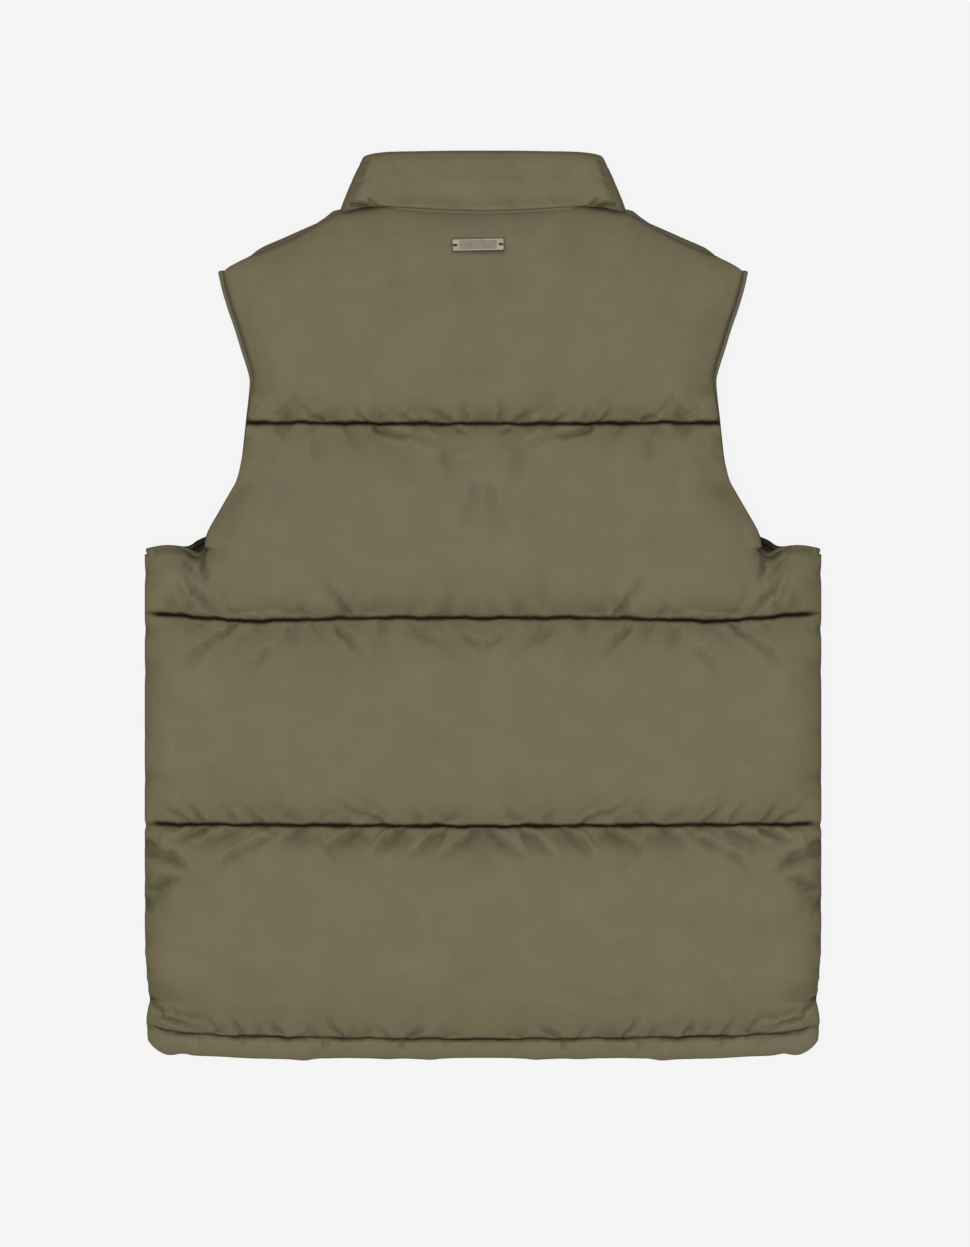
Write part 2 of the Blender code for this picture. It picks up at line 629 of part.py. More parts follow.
def make_slider(metal):
    """Two wings joined by a post between the tapes, with a bail for the pull on the outer wing."""
    foot = BAIL_OPENING / 2
    low = foot + WING_THICKNESS
    high = low + TAPE_THICKNESS + 2 * SEAM_GAP
    ring = rounded_outline(SLIDER_WIDTH / 2, SLIDER_LENGTH / 2, SLIDER_CORNER)
    ring = [(x * (SLIDER_TAPER if y < 0 else 1), y) for x, y in ring]
    post = rounded_outline(POST_HALF_WIDTH, POST_HALF_LENGTH, POST_CORNER, 2)
    parts = [
        slab("outer_wing", ring, foot, low, metal),
        slab("post", post, low - OVERLAP, high + OVERLAP, metal, POST_AHEAD),
        slab("inner_wing", ring, high, high + WING_THICKNESS, metal),
    ]
    leg = rounded_outline(BAIL_WIDTH / 2 - BAIL_LEG_INSET, BAIL_BAR / 2, BAIL_LEG_CORNER, 1)
    leg_ahead = (BAIL_LENGTH - BAIL_BAR - BAIL_LEG_CORNER) / 2
    for ahead in (-leg_ahead, leg_ahead):
        parts.append(slab("leg", leg, -foot - BAIL_LEG_OVERLAP, foot + BAIL_LEG_OVERLAP, metal, ahead))
    bar = rounded_outline(BAIL_WIDTH / 2, BAIL_LENGTH / 2, BAIL_CORNER, 2)
    parts.append(slab("bar", bar, -foot - BAIL_BAR, -foot, metal))
    return joined("zip_slider", parts, slider_place())


def make_pull(metal):
    """Tab whose cross bar passes through the bail; its origin is on the hinge axis."""
    half = PULL_THICKNESS / 2
    arm_in = BAIL_WIDTH / 2 + PULL_PLAY
    arm_out = arm_in + PULL_ARM
    wide = PULL_WIDTH / 2
    end = -PULL_LENGTH
    right_half = [
        (wide - PULL_CORNER, end),
        (wide - PULL_CUT, end + PULL_CUT),
        (wide, end + PULL_CORNER),
        (wide, -PULL_EYE - PULL_CORNER),
        (arm_out, -PULL_EYE),
        (arm_out, PULL_BAR),
    ]
    left_half = [(-x, y) for x, y in reversed(right_half)]
    outline = right_half + left_half
    eye = [(-arm_in, -PULL_EYE), (arm_in, -PULL_EYE), (arm_in, -PULL_BAR), (-arm_in, -PULL_BAR)]
    tab = slab("tab", outline, -half, half, metal)
    hole = slab("eye", eye, -2 * half, 2 * half, metal)
    cut = tab.modifiers.new("eye", "BOOLEAN")
    cut.operation = "DIFFERENCE"
    cut.object = hole
    hole.hide_render = True
    hole.display_type = "WIRE"
    for part in (tab, hole):
        part.location = slider_place()
    tab.name = "zip_pull"
    return tab


def make_plate(seat, metal):
    """Flat metal plate with a hole near each end, lying 0.3 mm off the pressed yoke."""
    centre, length, width, out = seat
    ring = rounded_outline(PLATE_LENGTH / 2, PLATE_WIDTH / 2, PLATE_CORNER, 2)
    count = len(ring)
    points = []
    for lift in (SEAM_GAP, SEAM_GAP + PLATE_THICKNESS):
        for x, y in ring:
            points.append(centre + length * x + width * y + out * lift)
    faces = [tuple(reversed(range(count))), tuple(range(count, 2 * count))]
    faces += [(k, (k + 1) % count, count + (k + 1) % count, count + k) for k in range(count)]
    return solid("back_plate", points, faces, metal)


def main():
    for old in list(bpy.data.objects):
        bpy.data.objects.remove(old)
    shell = material("olive_shell", (0.162, 0.141, 0.090), 0.62)
    tape = material("zip_tape", (0.10, 0.088, 0.058), 0.8)
    metal = material("dull_metal", (0.36, 0.33, 0.30), 0.42, 1.0)
    back, seat = make_back(shell)
    fronts = [make_front(hand, shell) for hand in (-1, 1)]
    for hand in (-1, 1):
        make_binding(hand, back, fronts[0], shell)
        make_tape(hand, tape)
    make_collar(shell)
    make_slider(metal)
    make_pull(metal)
    make_plate(seat, metal)


main()
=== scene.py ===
import math

import bpy
import numpy as np
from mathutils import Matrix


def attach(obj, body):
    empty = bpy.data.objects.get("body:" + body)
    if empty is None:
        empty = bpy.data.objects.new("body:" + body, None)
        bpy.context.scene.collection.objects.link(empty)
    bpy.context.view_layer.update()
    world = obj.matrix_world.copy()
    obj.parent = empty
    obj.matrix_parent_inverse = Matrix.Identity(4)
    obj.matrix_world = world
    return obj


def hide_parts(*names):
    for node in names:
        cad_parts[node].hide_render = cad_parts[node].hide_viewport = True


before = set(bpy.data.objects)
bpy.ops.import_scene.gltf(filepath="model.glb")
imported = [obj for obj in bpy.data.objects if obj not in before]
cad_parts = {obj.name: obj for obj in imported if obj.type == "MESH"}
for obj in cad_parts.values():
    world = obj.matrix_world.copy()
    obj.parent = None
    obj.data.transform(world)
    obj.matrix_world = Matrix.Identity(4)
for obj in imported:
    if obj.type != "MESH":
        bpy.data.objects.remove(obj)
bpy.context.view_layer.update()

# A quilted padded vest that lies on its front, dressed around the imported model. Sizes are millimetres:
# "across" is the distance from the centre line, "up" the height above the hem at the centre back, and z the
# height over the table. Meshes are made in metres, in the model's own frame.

MM = 0.001
LENGTH = 745.8              # hem to collar top; the frame's origin lies half way up
scene = bpy.context.scene


# ---- Table, light and camera -----------------------------------------------------------------------------
# The vest lies on a pale matt table in a white room, under one broad soft lamp almost straight overhead. The
# camera looks straight down through a long lens.
VIEW_ACROSS, VIEW_UP = 1.6, 357.5
VIEW_HEIGHT = 1022.5        # what the picture takes in from hem side to collar side
OUTLINE_HEIGHT = 19.0       # height of the vest's outline over the table
LENS, FILM = 110.0, 36.0
CLEAR_TO = 50.0             # metres that the camera sees
ROOM_COLOUR, ROOM_LIGHT = (0.96, 0.98, 1.0, 1.0), 0.32
WALL_GREY = 0.905           # of the room's walls as the camera sees them
LAMP_COLOUR, LAMP_LIGHT = (1.0, 0.99, 0.97), 2.35
LAMP_SPREAD, LAMP_LEAN = 36, (2, -4)        # degrees
TABLE_HALF, TABLE_DROP = 4.0, 0.0002        # metres
TABLE_SURFACE_GREY, TABLE_GREY = 0.38, 0.995
TABLE_GLOW = 0.86           # share of the table's light that no shadow takes away


def feed(made, inputs):
    """Gives each named input of a node its value, or the socket that it comes from."""
    for name, value in inputs.items():
        if isinstance(value, bpy.types.NodeSocket):
            made.id_data.links.new(value, made.inputs[name])
        else:
            made.inputs[name].default_value = value


def node(tree, kind, inputs=None, **settings):
    """A new shader node with its settings and its inputs."""
    made = tree.nodes.new("ShaderNode" + kind)
    for name, value in settings.items():
        setattr(made, name, value)
    feed(made, inputs or {})
    return made


def material(name):
    """A new material, its node tree and its main shader."""
    made = bpy.data.materials.new(name)
    made.use_nodes = True
    return made, made.node_tree, made.node_tree.nodes["Principled BSDF"]


def grey(value):
    return (value, value, value, 1.0)


def link(thing):
    scene.collection.objects.link(thing)
    return thing


camera = link(bpy.data.objects.new("camera", bpy.data.cameras.new("camera")))
camera.data.lens = LENS
camera.data.sensor_width = FILM
camera.data.clip_end = CLEAR_TO
camera_height = OUTLINE_HEIGHT + VIEW_HEIGHT * LENS / FILM
camera.location = (VIEW_ACROSS * MM, (VIEW_UP - LENGTH / 2) * MM, camera_height * MM)
scene.camera = camera

room = bpy.data.worlds.new("white_room")
room.use_nodes = True
tree = room.node_tree
room_light = tree.nodes["Background"]
feed(room_light, {"Color": ROOM_COLOUR, "Strength": ROOM_LIGHT})
walls = node(tree, "Background", {"Color": grey(WALL_GREY), "Strength": 1.0})
by_camera = node(tree, "LightPath").outputs["Is Camera Ray"]
seen = node(tree, "MixShader", {0: by_camera, 1: room_light.outputs[0], 2: walls.outputs[0]})
feed(tree.nodes["World Output"], {"Surface": seen.outputs[0]})
scene.world = room

softbox = link(bpy.data.objects.new("softbox", bpy.data.lights.new("softbox", "SUN")))
softbox.data.energy = LAMP_LIGHT
softbox.data.angle = math.radians(LAMP_SPREAD)
softbox.data.color = LAMP_COLOUR
softbox.rotation_euler = (math.radians(LAMP_LEAN[0]), math.radians(LAMP_LEAN[1]), 0)

table_mesh = bpy.data.meshes.new("table")
corners = [(x * TABLE_HALF, y * TABLE_HALF, -TABLE_DROP) for x, y in ((-1, -1), (1, -1), (1, 1), (-1, 1))]
table_mesh.from_pydata(corners, [], [(0, 1, 2, 3)])
table = link(bpy.data.objects.new("table", table_mesh))
matt, tree, surface = material("pale_table")
feed(surface, {"Base Color": grey(TABLE_SURFACE_GREY), "Roughness": 0.9, "Specular IOR Level": 0.1})
glow = node(tree, "Emission", {"Color": grey(TABLE_GREY), "Strength": 1.0})
blend = node(tree, "MixShader", {0: TABLE_GLOW, 1: surface.outputs[0], 2: glow.outputs[0]})
by_camera = node(tree, "LightPath").outputs["Is Camera Ray"]
seen = node(tree, "MixShader", {0: by_camera, 1: surface.outputs[0], 2: blend.outputs[0]})
feed(tree.nodes["Material Output"], {"Surface": seen.outputs[0]})
table_mesh.materials.append(matt)

scene.view_settings.view_transform = "Standard"
scene.view_settings.look = "None"


# ---- Back ------------------------------------------------------------------------------------------------
# One panel of olive taffeta over synthetic down, quilted by three rows of stitching into four deep baffles,
# with a narrow stitched channel at the hem. Its sides, armholes, neck and shoulders are sewn to other pieces.
HALF_CHEST = 277.2
SEAM_GAP = 0.3
LAYER_GAP = 0.4
MID_HEIGHT = 19.0           # table to the inside of the back
HEM_DROOP, HEM_DROOP_REACH = 9.0, 75.0
COLLAR_DROOP, COLLAR_DROOP_START = 5.0, 640.0
BINDING_WIDTH = 4.2
EDGE = 2.2                  # wall at a sewn edge
GROOVE = 4.5                # wall at a quilt line
BACK_CROWN = 22.0
HEM_CROWN = 8.5
BAFFLE_POWER = 2.5
EDGE_REACH = 34.0
NECK_WALL, NECK_REACH, NECK_END = 10.0, 12.0, 95.0     # the padding runs on into the collar at the middle
ARMHOLE_ACROSS, ARMHOLE_UP = 140, 350       # nothing further in or lower down is near the armhole
COVERED_UP = 575            # below this the padding rolls over the armhole's binding

# Seam lines from hem to neck: across, up
HEM_EDGE = (
    (0, 0.8), (20, 0.7), (33, 0.2), (43.5, -0.8), (52, -0.4), (66, 0.2), (78, -0.3), (90, 0.2), (112, 0.7),
    (124, 0.4), (136, 0.1), (146.8, -1.4), (158, -0.5), (170, -0.1), (192, 0.4), (215, 1.8), (227, 2.2),
    (239, 3.0), (245, 4.5), (250, 4.3), (256, 3.2), (262, 3.6), (266, 5.4), (270, 7.6), (274, 11.2),
    (277.2, 15.5),
)
HEM_LINE = ((0, 17.0), (70, 17.4), (134.5, 18.2), (190, 19.4), (231.2, 21.0), (253, 23.4), (277.2, 27.8))
QUILT_3 = ((0, 191.7), (140, 192.6), (277.2, 193.6))
QUILT_2 = ((0, 362.0), (95, 362.0), (161.5, 360.2), (200, 359.6), (219.8, 361.6), (277.2, 366.3))
QUILT_1 = ((0, 520.8), (90, 520.9), (150, 521.6), (217, 521.2))
BACK_TOP = (
    (0, 694.6), (35, 695.7), (62, 697.4), (78, 698.2), (90, 698.1), (100, 697.4), (107, 696.0),
    (112, 694.9), (117, 693.6), (125.5, 688.6), (150, 674.6), (165, 667.5), (181, 660.6), (194, 656.4),
    (204, 651.7), (214, 646.8),
)
# Outer edge of the armhole binding from the shoulder tip to the underarm, and on to the side fold: across, up
BACK_ARMHOLE = (
    (216.6, 642.6), (214.0, 631.0), (209.1, 614.6), (203.4, 598.2), (198.4, 581.8), (193.2, 565.4),
    (191.3, 556.0), (192.4, 540.8), (194.3, 524.4), (196.0, 508.0), (198.0, 491.6), (202.0, 475.2),
    (207.4, 465.0), (215.7, 450.6), (225.0, 434.2), (228.2, 424.6), (229.6, 418.6), (233.2, 415.8),
)
BACK_UNDERARM = (
    (238.5, 418.2), (247.0, 420.8), (258.3, 421.9), (268.0, 420.9), (274.0, 419.6), (278.0, 418.4),
)
# Side fold with the slight waist above the hem: up, across
SIDE = (
    (0, 274.0), (9, 274.5), (16, 275.2), (24, 275.8), (32, 276.2), (40, 275.2), (48.8, 273.4), (58, 274.7),
    (66, 275.6), (84, 276.4), (115, 277.2), (430, 277.2),
)

# Folds in the back, the same on both sides. Each runs from its first place to its second, with its half width
# at each, and fades along the way: across, up, across, up, half widths, depth (a ridge where it is negative).
BACK_FOLDS = (
    # under the arm
    (230, 414, 227, 393, 1.8, 2.4, 5.5),
    (239, 412, 229, 409, 2.6, 2.4, 4.0),
    (243, 407, 228, 387, 2.6, 2.2, 2.8),
    (242, 394, 236, 382, 2.0, 2.6, 2.6),
    (236, 382, 222, 367, 2.6, 2.8, 3.4),
    (238, 398, 216, 372, 2.2, 3.0, -1.6),
    (248, 398, 238, 376, 2.6, 3.6, -1.2),
    (249, 388, 240, 370, 3.0, 4.0, 1.4),
    (259, 375, 256, 366, 2.5, 3.5, 1.2),
    # beside the armhole
    (195, 468, 222, 432, 6.0, 7.0, 1.8),
    (191, 549, 174, 545, 4.5, 6.0, 2.0),
    (192, 508, 191, 484, 4.5, 5.0, 1.5),
    # yoke
    (24, 640, 4, 610, 5.0, 6.0, 0.5),
    # down to the first quilt line
    (161, 522, 160, 535, 7.0, 3.0, 2.2),
    (149, 532, 155, 545, 5.0, 5.0, 1.0),
    (132, 525, 144, 530, 2.0, 2.0, 2.0),
    (137, 524, 115, 525, 3.0, 4.0, 1.2),
    (96, 523, 105, 535, 2.6, 2.2, 2.6),
    (85, 523, 87, 536, 5.0, 4.0, 1.4),
    (58, 523, 70, 529, 3.0, 2.4, 1.8),
    (51, 523, 53, 534, 4.0, 4.0, 1.2),
    (27, 523, 46, 533, 5.0, 3.0, 2.2),
    (15, 523, 14, 538, 3.0, 3.0, 2.0),
    (2, 523, 0, 532, 4.0, 5.0, 1.2),
    (191, 523, 186, 536, 4.0, 5.0, 1.2),
    # under the first quilt line
    (88, 518, 82, 513, 2.4, 2.4, 3.2),
    (82, 513, 56, 510, 2.6, 2.8, 3.6),
    (79, 509, 56, 505.5, 1.8, 2.2, -1.6),
    (56, 505.5, 36, 497, 2.2, 3.0, -1.6),
    (46, 514, 32, 509.5, 2.2, 2.2, -1.4),
    (20, 514.5, 12, 514.5, 2.4, 2.2, 2.6),
    (21, 496.5, 11, 496, 2.2, 2.2, -1.0),
    (136, 503, 133, 490, 6.0, 7.0, 1.2),
    (31, 496, 26, 478, 5.0, 7.0, 1.2),
    (112, 518, 96, 500, 4.0, 8.0, 1.0),
    (5, 470, 18, 430, 4.0, 6.0, 1.1),
    (0, 452, 0, 424, 6.0, 8.0, -0.4),
    # down to the second
    (109, 366, 130, 392, 2.6, 2.2, 3.0),
    (112, 366, 104, 378, 4.0, 4.0, 1.4),
    (209, 366, 171, 368.5, 2.0, 2.2, 2.0),
    (161, 365.5, 138, 367, 2.0, 2.2, 1.8),
    (100, 366, 68, 371, 4.0, 6.0, 1.6),
    (60, 366, 44, 374, 4.0, 6.0, 1.2),
    (30, 365, 24, 380, 6.0, 4.0, 1.8),
    (8, 365, 2, 374, 5.0, 5.0, 1.2),
    (252, 370, 254, 384, 3.0, 4.0, 1.6),
    (240, 368, 236, 380, 3.0, 4.0, 1.4),
    (147, 365, 150, 374, 4.0, 4.0, 1.0),
    # under the second
    (205, 355, 224, 342, 2.6, 2.8, 2.8),
    (224, 342, 244, 326, 2.8, 4.0, 2.0),
    (178, 336, 192, 319, 3.0, 5.0, 1.5),
    (157, 352, 157, 341, 5.0, 5.0, 1.8),
    (119, 353, 99, 334, 3.0, 3.4, 2.6),
    (83, 357, 82, 348, 5.0, 4.0, 1.8),
    (13, 347, 0, 336, 3.0, 3.4, 1.8),
    (54, 352, 22, 334, 5.0, 7.0, 1.4),
    (137, 356, 132, 345, 3.0, 4.0, 1.2),
    # down to the third
    (240, 196, 260, 206.5, 2.2, 2.2, 2.0),
    (229, 196, 239, 208.5, 2.4, 2.0, 2.2),
    (203, 196, 212, 210, 3.0, 3.0, 1.8),
    (182, 196, 198, 208.5, 2.8, 2.4, 2.2),
    (150, 197, 176, 206, 6.0, 6.0, 1.2),
    (83, 196, 96, 201, 3.0, 2.6, 2.6),
    (96, 201, 121, 211, 2.8, 4.0, 1.8),
    (29, 196, 18, 203, 3.4, 3.4, 2.0),
    (52, 196, 58, 204, 5.0, 4.0, 1.2),
    (132, 196, 128, 205, 4.0, 4.0, 1.2),
    # under the third, a fan of narrow ridges with wide dips between them
    (238, 190.5, 260, 186, 1.6, 1.8, -2.0),
    (260, 186, 265, 175, 1.8, 1.8, -1.8),
    (229, 190, 250, 181, 3.2, 2.2, 2.8),
    (204, 188, 236, 176, 4.4, 3.0, 2.2),
    (177, 188, 200, 176, 1.8, 2.2, -1.2),
    (200, 176, 228, 166, 2.2, 2.6, -0.9),
    (182, 182, 204, 171, 4.0, 3.0, 1.9),
    (204, 171, 222, 154, 2.6, 2.4, 1.7),
    (150, 188, 163, 178, 7.0, 4.0, 2.6),
    (137, 182, 125, 164, 1.8, 2.2, -1.8),
    (125, 164, 102, 146, 2.2, 3.4, -1.0),
    (103, 187, 128, 174, 5.4, 3.0, 3.2),
    (81, 188, 93, 173, 1.6, 2.2, -2.2),
    (67, 187, 88, 171, 5.6, 2.4, 3.4),
    (35, 187, 58, 168, 5.0, 2.4, 3.0),
    (27, 187, 40, 166, 1.6, 2.2, -2.2),
    (6, 187, 32, 168, 6.0, 3.0, 3.0),
    (0, 178, 10, 162, 5.0, 6.0, 0.9),
    # in from the side fold
    (277, 179, 267, 176.5, 2.0, 2.2, 6.0),
    (276, 171, 256, 167, 5.0, 3.6, 5.2),
    (256, 167, 238, 156, 4.0, 2.0, 3.8),
    (272, 158, 246, 151, 3.0, 3.4, -2.0),
    (270, 141, 247, 151, 4.2, 2.6, 4.6),
    (276.5, 134, 270, 123, 1.8, 1.8, 6.0),
    (270, 130, 256, 138, 4.0, 4.0, 2.4),
    (262, 124, 240, 108, 4.0, 6.0, 0.8),
    (277, 62, 252, 60, 2.2, 3.0, 1.4),
    (273, 51, 261, 38, 1.6, 2.0, 6.0),
    (272, 57, 246, 54, 3.0, 5.0, 1.8),
    (270, 50, 246, 49.5, 2.4, 3.4, 2.2),
    (262, 36, 236, 25.5, 1.8, 2.2, 3.2),
    (259, 38, 223, 29, 1.8, 2.2, -1.6),
    (257, 41, 222, 31.5, 1.8, 1.8, 2.0),
    (250, 37, 224, 30, 2.0, 2.4, 1.2),
    (277, 326, 262, 318, 3.0, 6.0, 1.4),
    (277, 236, 258, 226, 3.0, 7.0, 1.4),
    (277, 392, 262, 388, 3.0, 6.0, 1.2),
    # down to the hem line
    (218, 24, 222, 34, 2.0, 2.2, 1.8),
    (197, 24, 206, 37, 2.4, 2.2, 2.4),
    (182, 23, 186, 31, 1.6, 1.8, 1.6),
    (165, 22, 174, 32, 2.4, 2.0, 2.8),
    (136, 21, 144, 29, 2.4, 2.0, 1.6),
    (78, 20, 86, 27, 3.0, 2.2, 1.6),
    (115, 20, 126, 34, 2.6, 2.0, 3.0),
    (108, 20, 88, 22, 3.0, 3.0, 1.4),
    (59, 20, 46, 26, 2.8, 2.2, 3.0),
    (31, 20, 16, 21, 3.0, 3.0, 1.8),
    (216, 24, 208, 26, 2.4, 3.0, 1.4),
    (150, 20, 138, 22, 2.6, 3.0, 1.2),
    # across the hem's channel
    (199, 19, 195, 9, 1.8, 1.6, 2.6),
    (130, 17, 128, 5, 2.2, 2.4, 1.4),
    (65, 17, 69, 8, 1.8, 1.6, 2.6),
    (232, 20, 228, 8, 2.2, 3.0, 1.0),
    (30, 16, 28, 7, 2.2, 3.0, 0.8),
)
FOLD_DEPTH = 1.4            # how deep the folds in the tables are pressed in
TIGHT_SIDE, SLACK_SIDE = 1.1, 2.3           # widths of a fold's outer and inner side, in its half widths
SLACK_POWER = 1.5
FOLD_FADE = 0.8             # how much of its depth a fold loses along the way
ROUND_POWER = 2.2           # section of the padding beside a sewn edge
CURVE_STEPS = 24            # places read between two points of a curve


def run_length(points):
    """Distance along a line of points, at each of them."""
    return np.concatenate([[0], np.cumsum(np.linalg.norm(np.diff(points, axis=0), axis=1))])


def unit(vectors):
    return vectors / np.linalg.norm(vectors, axis=1)[:, None]


def ramp(distance, reach, least=0.0):
    """A share that grows evenly with the distance, to 1 at the reach."""
    return np.clip(distance / reach, least, 1)


def fade(distance, reach, power=2):
    """A share that is 1 at a place and dies away from it: the higher the power, the more squarely."""
    return np.exp(-(np.abs(distance / reach) ** power))


def between(a, b, c, d, t):
    """Places on the smooth curve through four others, a share t of the way from the second to the third."""
    return 0.5 * (2 * b + (c - a) * t + (2 * a - 5 * b + 4 * c - d) * t**2 + (3 * b - a - 3 * c + d) * t**3)


def smooth(points, count=120):
    """Evenly spaced points on a smooth curve through the given ones."""
    p = np.array(points, float)
    p = np.vstack([2 * p[0] - p[1], p, 2 * p[-1] - p[-2]])
    t = np.linspace(0, 1, CURVE_STEPS, endpoint=False)[:, None]
    found = [between(*four, t) for four in zip(p[:-3], p[1:-2], p[2:-1], p[3:])]
    found = np.vstack(found + [p[-2:-1]])
    run = run_length(found)
    even = np.linspace(0, run[-1], count)
    return np.column_stack([np.interp(even, run, found[:, k]) for k in range(found.shape[1])])


def offset(curve, distance):
    """A flat curve moved to its right-hand side and evened out."""
    along = unit(np.gradient(curve, axis=0))
    moved = curve + np.column_stack([along[:, 1], -along[:, 0]]) * distance
    return smooth(moved[::4], len(curve))


def level(line, across):
    return np.interp(np.abs(across), line[:, 0], line[:, 1])


def inside_height(up):
    """Height over the table of the layer between back and fronts."""
    hem = np.clip(1 - np.asarray(up) / HEM_DROOP_REACH, 0, 1)
    top = ramp(np.asarray(up) - COLLAR_DROOP_START, LENGTH - COLLAR_DROOP_START)
    return MID_HEIGHT - HEM_DROOP * hem**1.6 - COLLAR_DROOP * top**1.5


def puff(share, power=BAFFLE_POWER):
    """Section of a filled channel, from seam to seam."""
    return (1 - np.abs(2 * np.clip(share, 0, 1) - 1) ** power) ** (1 / power)


def rounding(distance, reach=EDGE_REACH):
    """How a padded wall grows away from its edge."""
    return (1 - (1 - ramp(distance, reach)) ** ROUND_POWER) ** (1 / ROUND_POWER)


def crowded(count, crowd):
    """Shares from 0 up to but not including 1 that crowd towards both ends."""
    share = np.arange(count) / count
    return share - crowd * np.sin(2 * math.pi * share) / (2 * math.pi)


def fold_relief(folds, across, up):
    """Depth of all the folds at each place: steep on their outer side, slack and uneven on their inner side."""
    bent_across = across + 0.8 * np.sin(up / 2.7 + across / 6.1) + 0.5 * np.sin(up / 1.5 - across / 3.7)
    bent_up = up + 0.7 * np.sin(across / 3.1 - up / 5.3) + 0.5 * np.sin(across / 1.9 + up / 4.1)
    relief = np.zeros_like(across)
    for x0, y0, x1, y1, half_start, half_end, depth in folds:
        run_x, run_y = x1 - x0, y1 - y0
        from_x, from_y = bent_across - x0, bent_up - y0
        share = np.clip((from_x * run_x + from_y * run_y) / (run_x**2 + run_y**2), 0, 1)
        away = np.hypot(from_x - share * run_x, from_y - share * run_y)
        slack = from_x * run_y - from_y * run_x > 0
        width = (half_start + (half_end - half_start) * share) * np.where(slack, SLACK_SIDE, TIGHT_SIDE)
        profile = np.clip(1 - away / width, 0, 1) ** np.where(slack, SLACK_POWER, 1.0)
        relief += FOLD_DEPTH * depth * profile * (1 - FOLD_FADE * share**2)
    return relief


class Panel:
    """Cut and fill of one half of a quilted panel."""

    def __init__(self, top, armhole, underarm, crown, folds):
        self.lines = [smooth(line) for line in (HEM_EDGE, HEM_LINE, QUILT_3, QUILT_2, QUILT_1)] + [top]
        self.crowns = np.array((HEM_CROWN, crown, crown, crown, crown))
        self.folds = folds
        self.edge = offset(smooth(armhole + underarm, 201), BINDING_WIDTH + SEAM_GAP)
        turn = int(np.argmin(np.hypot(*(self.edge - armhole[-1]).T)))
        self.armhole = self.edge[: turn + 1][::-1]
        self.underarm = self.edge[turn:]
        self.join, self.corner = self.edge[turn]
        self.side = smooth(SIDE)
        low, high = level(self.lines[3], self.join), level(self.lines[4], self.join)
        self.split = float((self.corner - low) / (high - low))

    def near_armhole(self, across, up):
        return (across > ARMHOLE_ACROSS) & (up > ARMHOLE_UP)

    def armhole_across(self, up):
        return np.interp(up, self.armhole[:, 1], self.armhole[:, 0])

    def side_distance(self, across, up):
        return np.interp(up, self.side[:, 0], self.side[:, 1]) - across

    def edge_distance(self, across, up, near, far):
        """Distance from the armhole's sewn edge where that is near, and the same far value elsewhere."""
        found = np.full(len(up), far)
        gaps = self.edge[:, None, :] - np.column_stack([across, up])[None, near, :]
        found[near] = np.sqrt((gaps**2).sum(axis=2).min(axis=0))
        return found

    def seam_distance(self, across, up):
        """Signed distance from the nearest quilt line or hem line."""
        gaps = np.array([up - level(line, across) for line in self.lines[1:5]])
        nearest = np.abs(gaps).argmin(axis=0)
        return np.take_along_axis(gaps, nearest[None], axis=0)[0]

    def rows(self, counts, crowd):
        """Places of the rows from hem to top, as band number plus share, and how many lie below the arm."""
        hem, third, second, lower, upper, yoke = [crowded(n, crowd) for n in counts]
        below = [hem, 1 + third, 2 + second, 3 + self.split * lower]
        above = [3 + self.split + (1 - self.split) * upper, 4 + yoke, [5.0]]
        return np.concatenate(below + above), sum(counts[:4])

    def places(self, rows, side_rows, inner, columns, side_columns):
        """Across and up of the central block's points, and of the side block's below the arm."""
        band = np.minimum(rows.astype(int), 4)
        share = rows - band
        central, side = [], []
        for number, t in zip(band, share):
            low, high = self.lines[number], self.lines[number + 1]
            width = self.join
            for _ in range(6):
                edge_up = (1 - t) * level(low, width) + t * level(high, width)
                width = self.join if edge_up <= self.corner else self.armhole_across(edge_up)
            across = inner + columns * (width - inner)
            up = (1 - t) * level(low, across) + t * level(high, across)
            central.append(np.stack([across, up], axis=-1))
        for number, t in list(zip(band, share))[: side_rows + 1]:
            out = self.join + side_columns * (HALF_CHEST - self.join)
            low, high = level(self.lines[number], out), level(self.lines[number + 1], out)
            up = (1 - t) * low + t * high
            if number == 3:
                up = (1 - t / self.split) * low + t / self.split * level(self.underarm, out)
            across = self.join + side_columns * self.side_distance(self.join, up)
            side.append(np.stack([across, up], axis=-1))
        return np.array(central), np.array(side)

    def wall(self, across, up):
        """Thickness of the padded wall, with its folds."""
        flat_across, flat_up = across.ravel(), up.ravel()
        levels = np.array([level(line, flat_across) for line in self.lines])
        band = (levels[1:-1] <= flat_up).sum(axis=0)
        at = np.arange(len(flat_up))
        share = (flat_up - levels[band, at]) / (levels[band + 1, at] - levels[band, at])
        full = GROOVE + (self.crowns[band] - GROOVE) * puff(share)
        neck = ramp(NECK_END - flat_across, 25) * fade(levels[5] - flat_up, NECK_REACH)
        full = np.maximum(full, GROOVE + (NECK_WALL - GROOVE) * neck)
        full -= fold_relief(self.folds, flat_across, flat_up) * ramp(full, 10, 0.4)
        near = self.near_armhole(flat_across, flat_up)
        to_edge = self.edge_distance(flat_across, flat_up, near, EDGE_REACH)
        grown = rounding(to_edge) * rounding(self.side_distance(flat_across, flat_up))
        return (EDGE + np.maximum(0, full - EDGE) * grown).reshape(across.shape)


def numbered(central, side, taken=0, middle=None):
    """Point numbers of a half panel's blocks, and its points; the first column may be the other half's."""
    start = 0 if middle is None else 1
    rows, columns = central.shape[:2]
    main = np.empty((rows, columns), int)
    main[:, start:] = taken + np.arange(rows * (columns - start)).reshape(rows, -1)
    if middle is not None:
        main[:, 0] = middle
    taken += rows * (columns - start)
    wing = np.empty(side.shape[:2], int)
    wing[:, 0] = main[: len(wing), -1]
    wing[:, 1:] = taken + np.arange(wing[:, 1:].size).reshape(len(wing), -1)
    return main, wing, np.vstack([central[:, start:].reshape(-1, 3), side[:, 1:].reshape(-1, 3)])


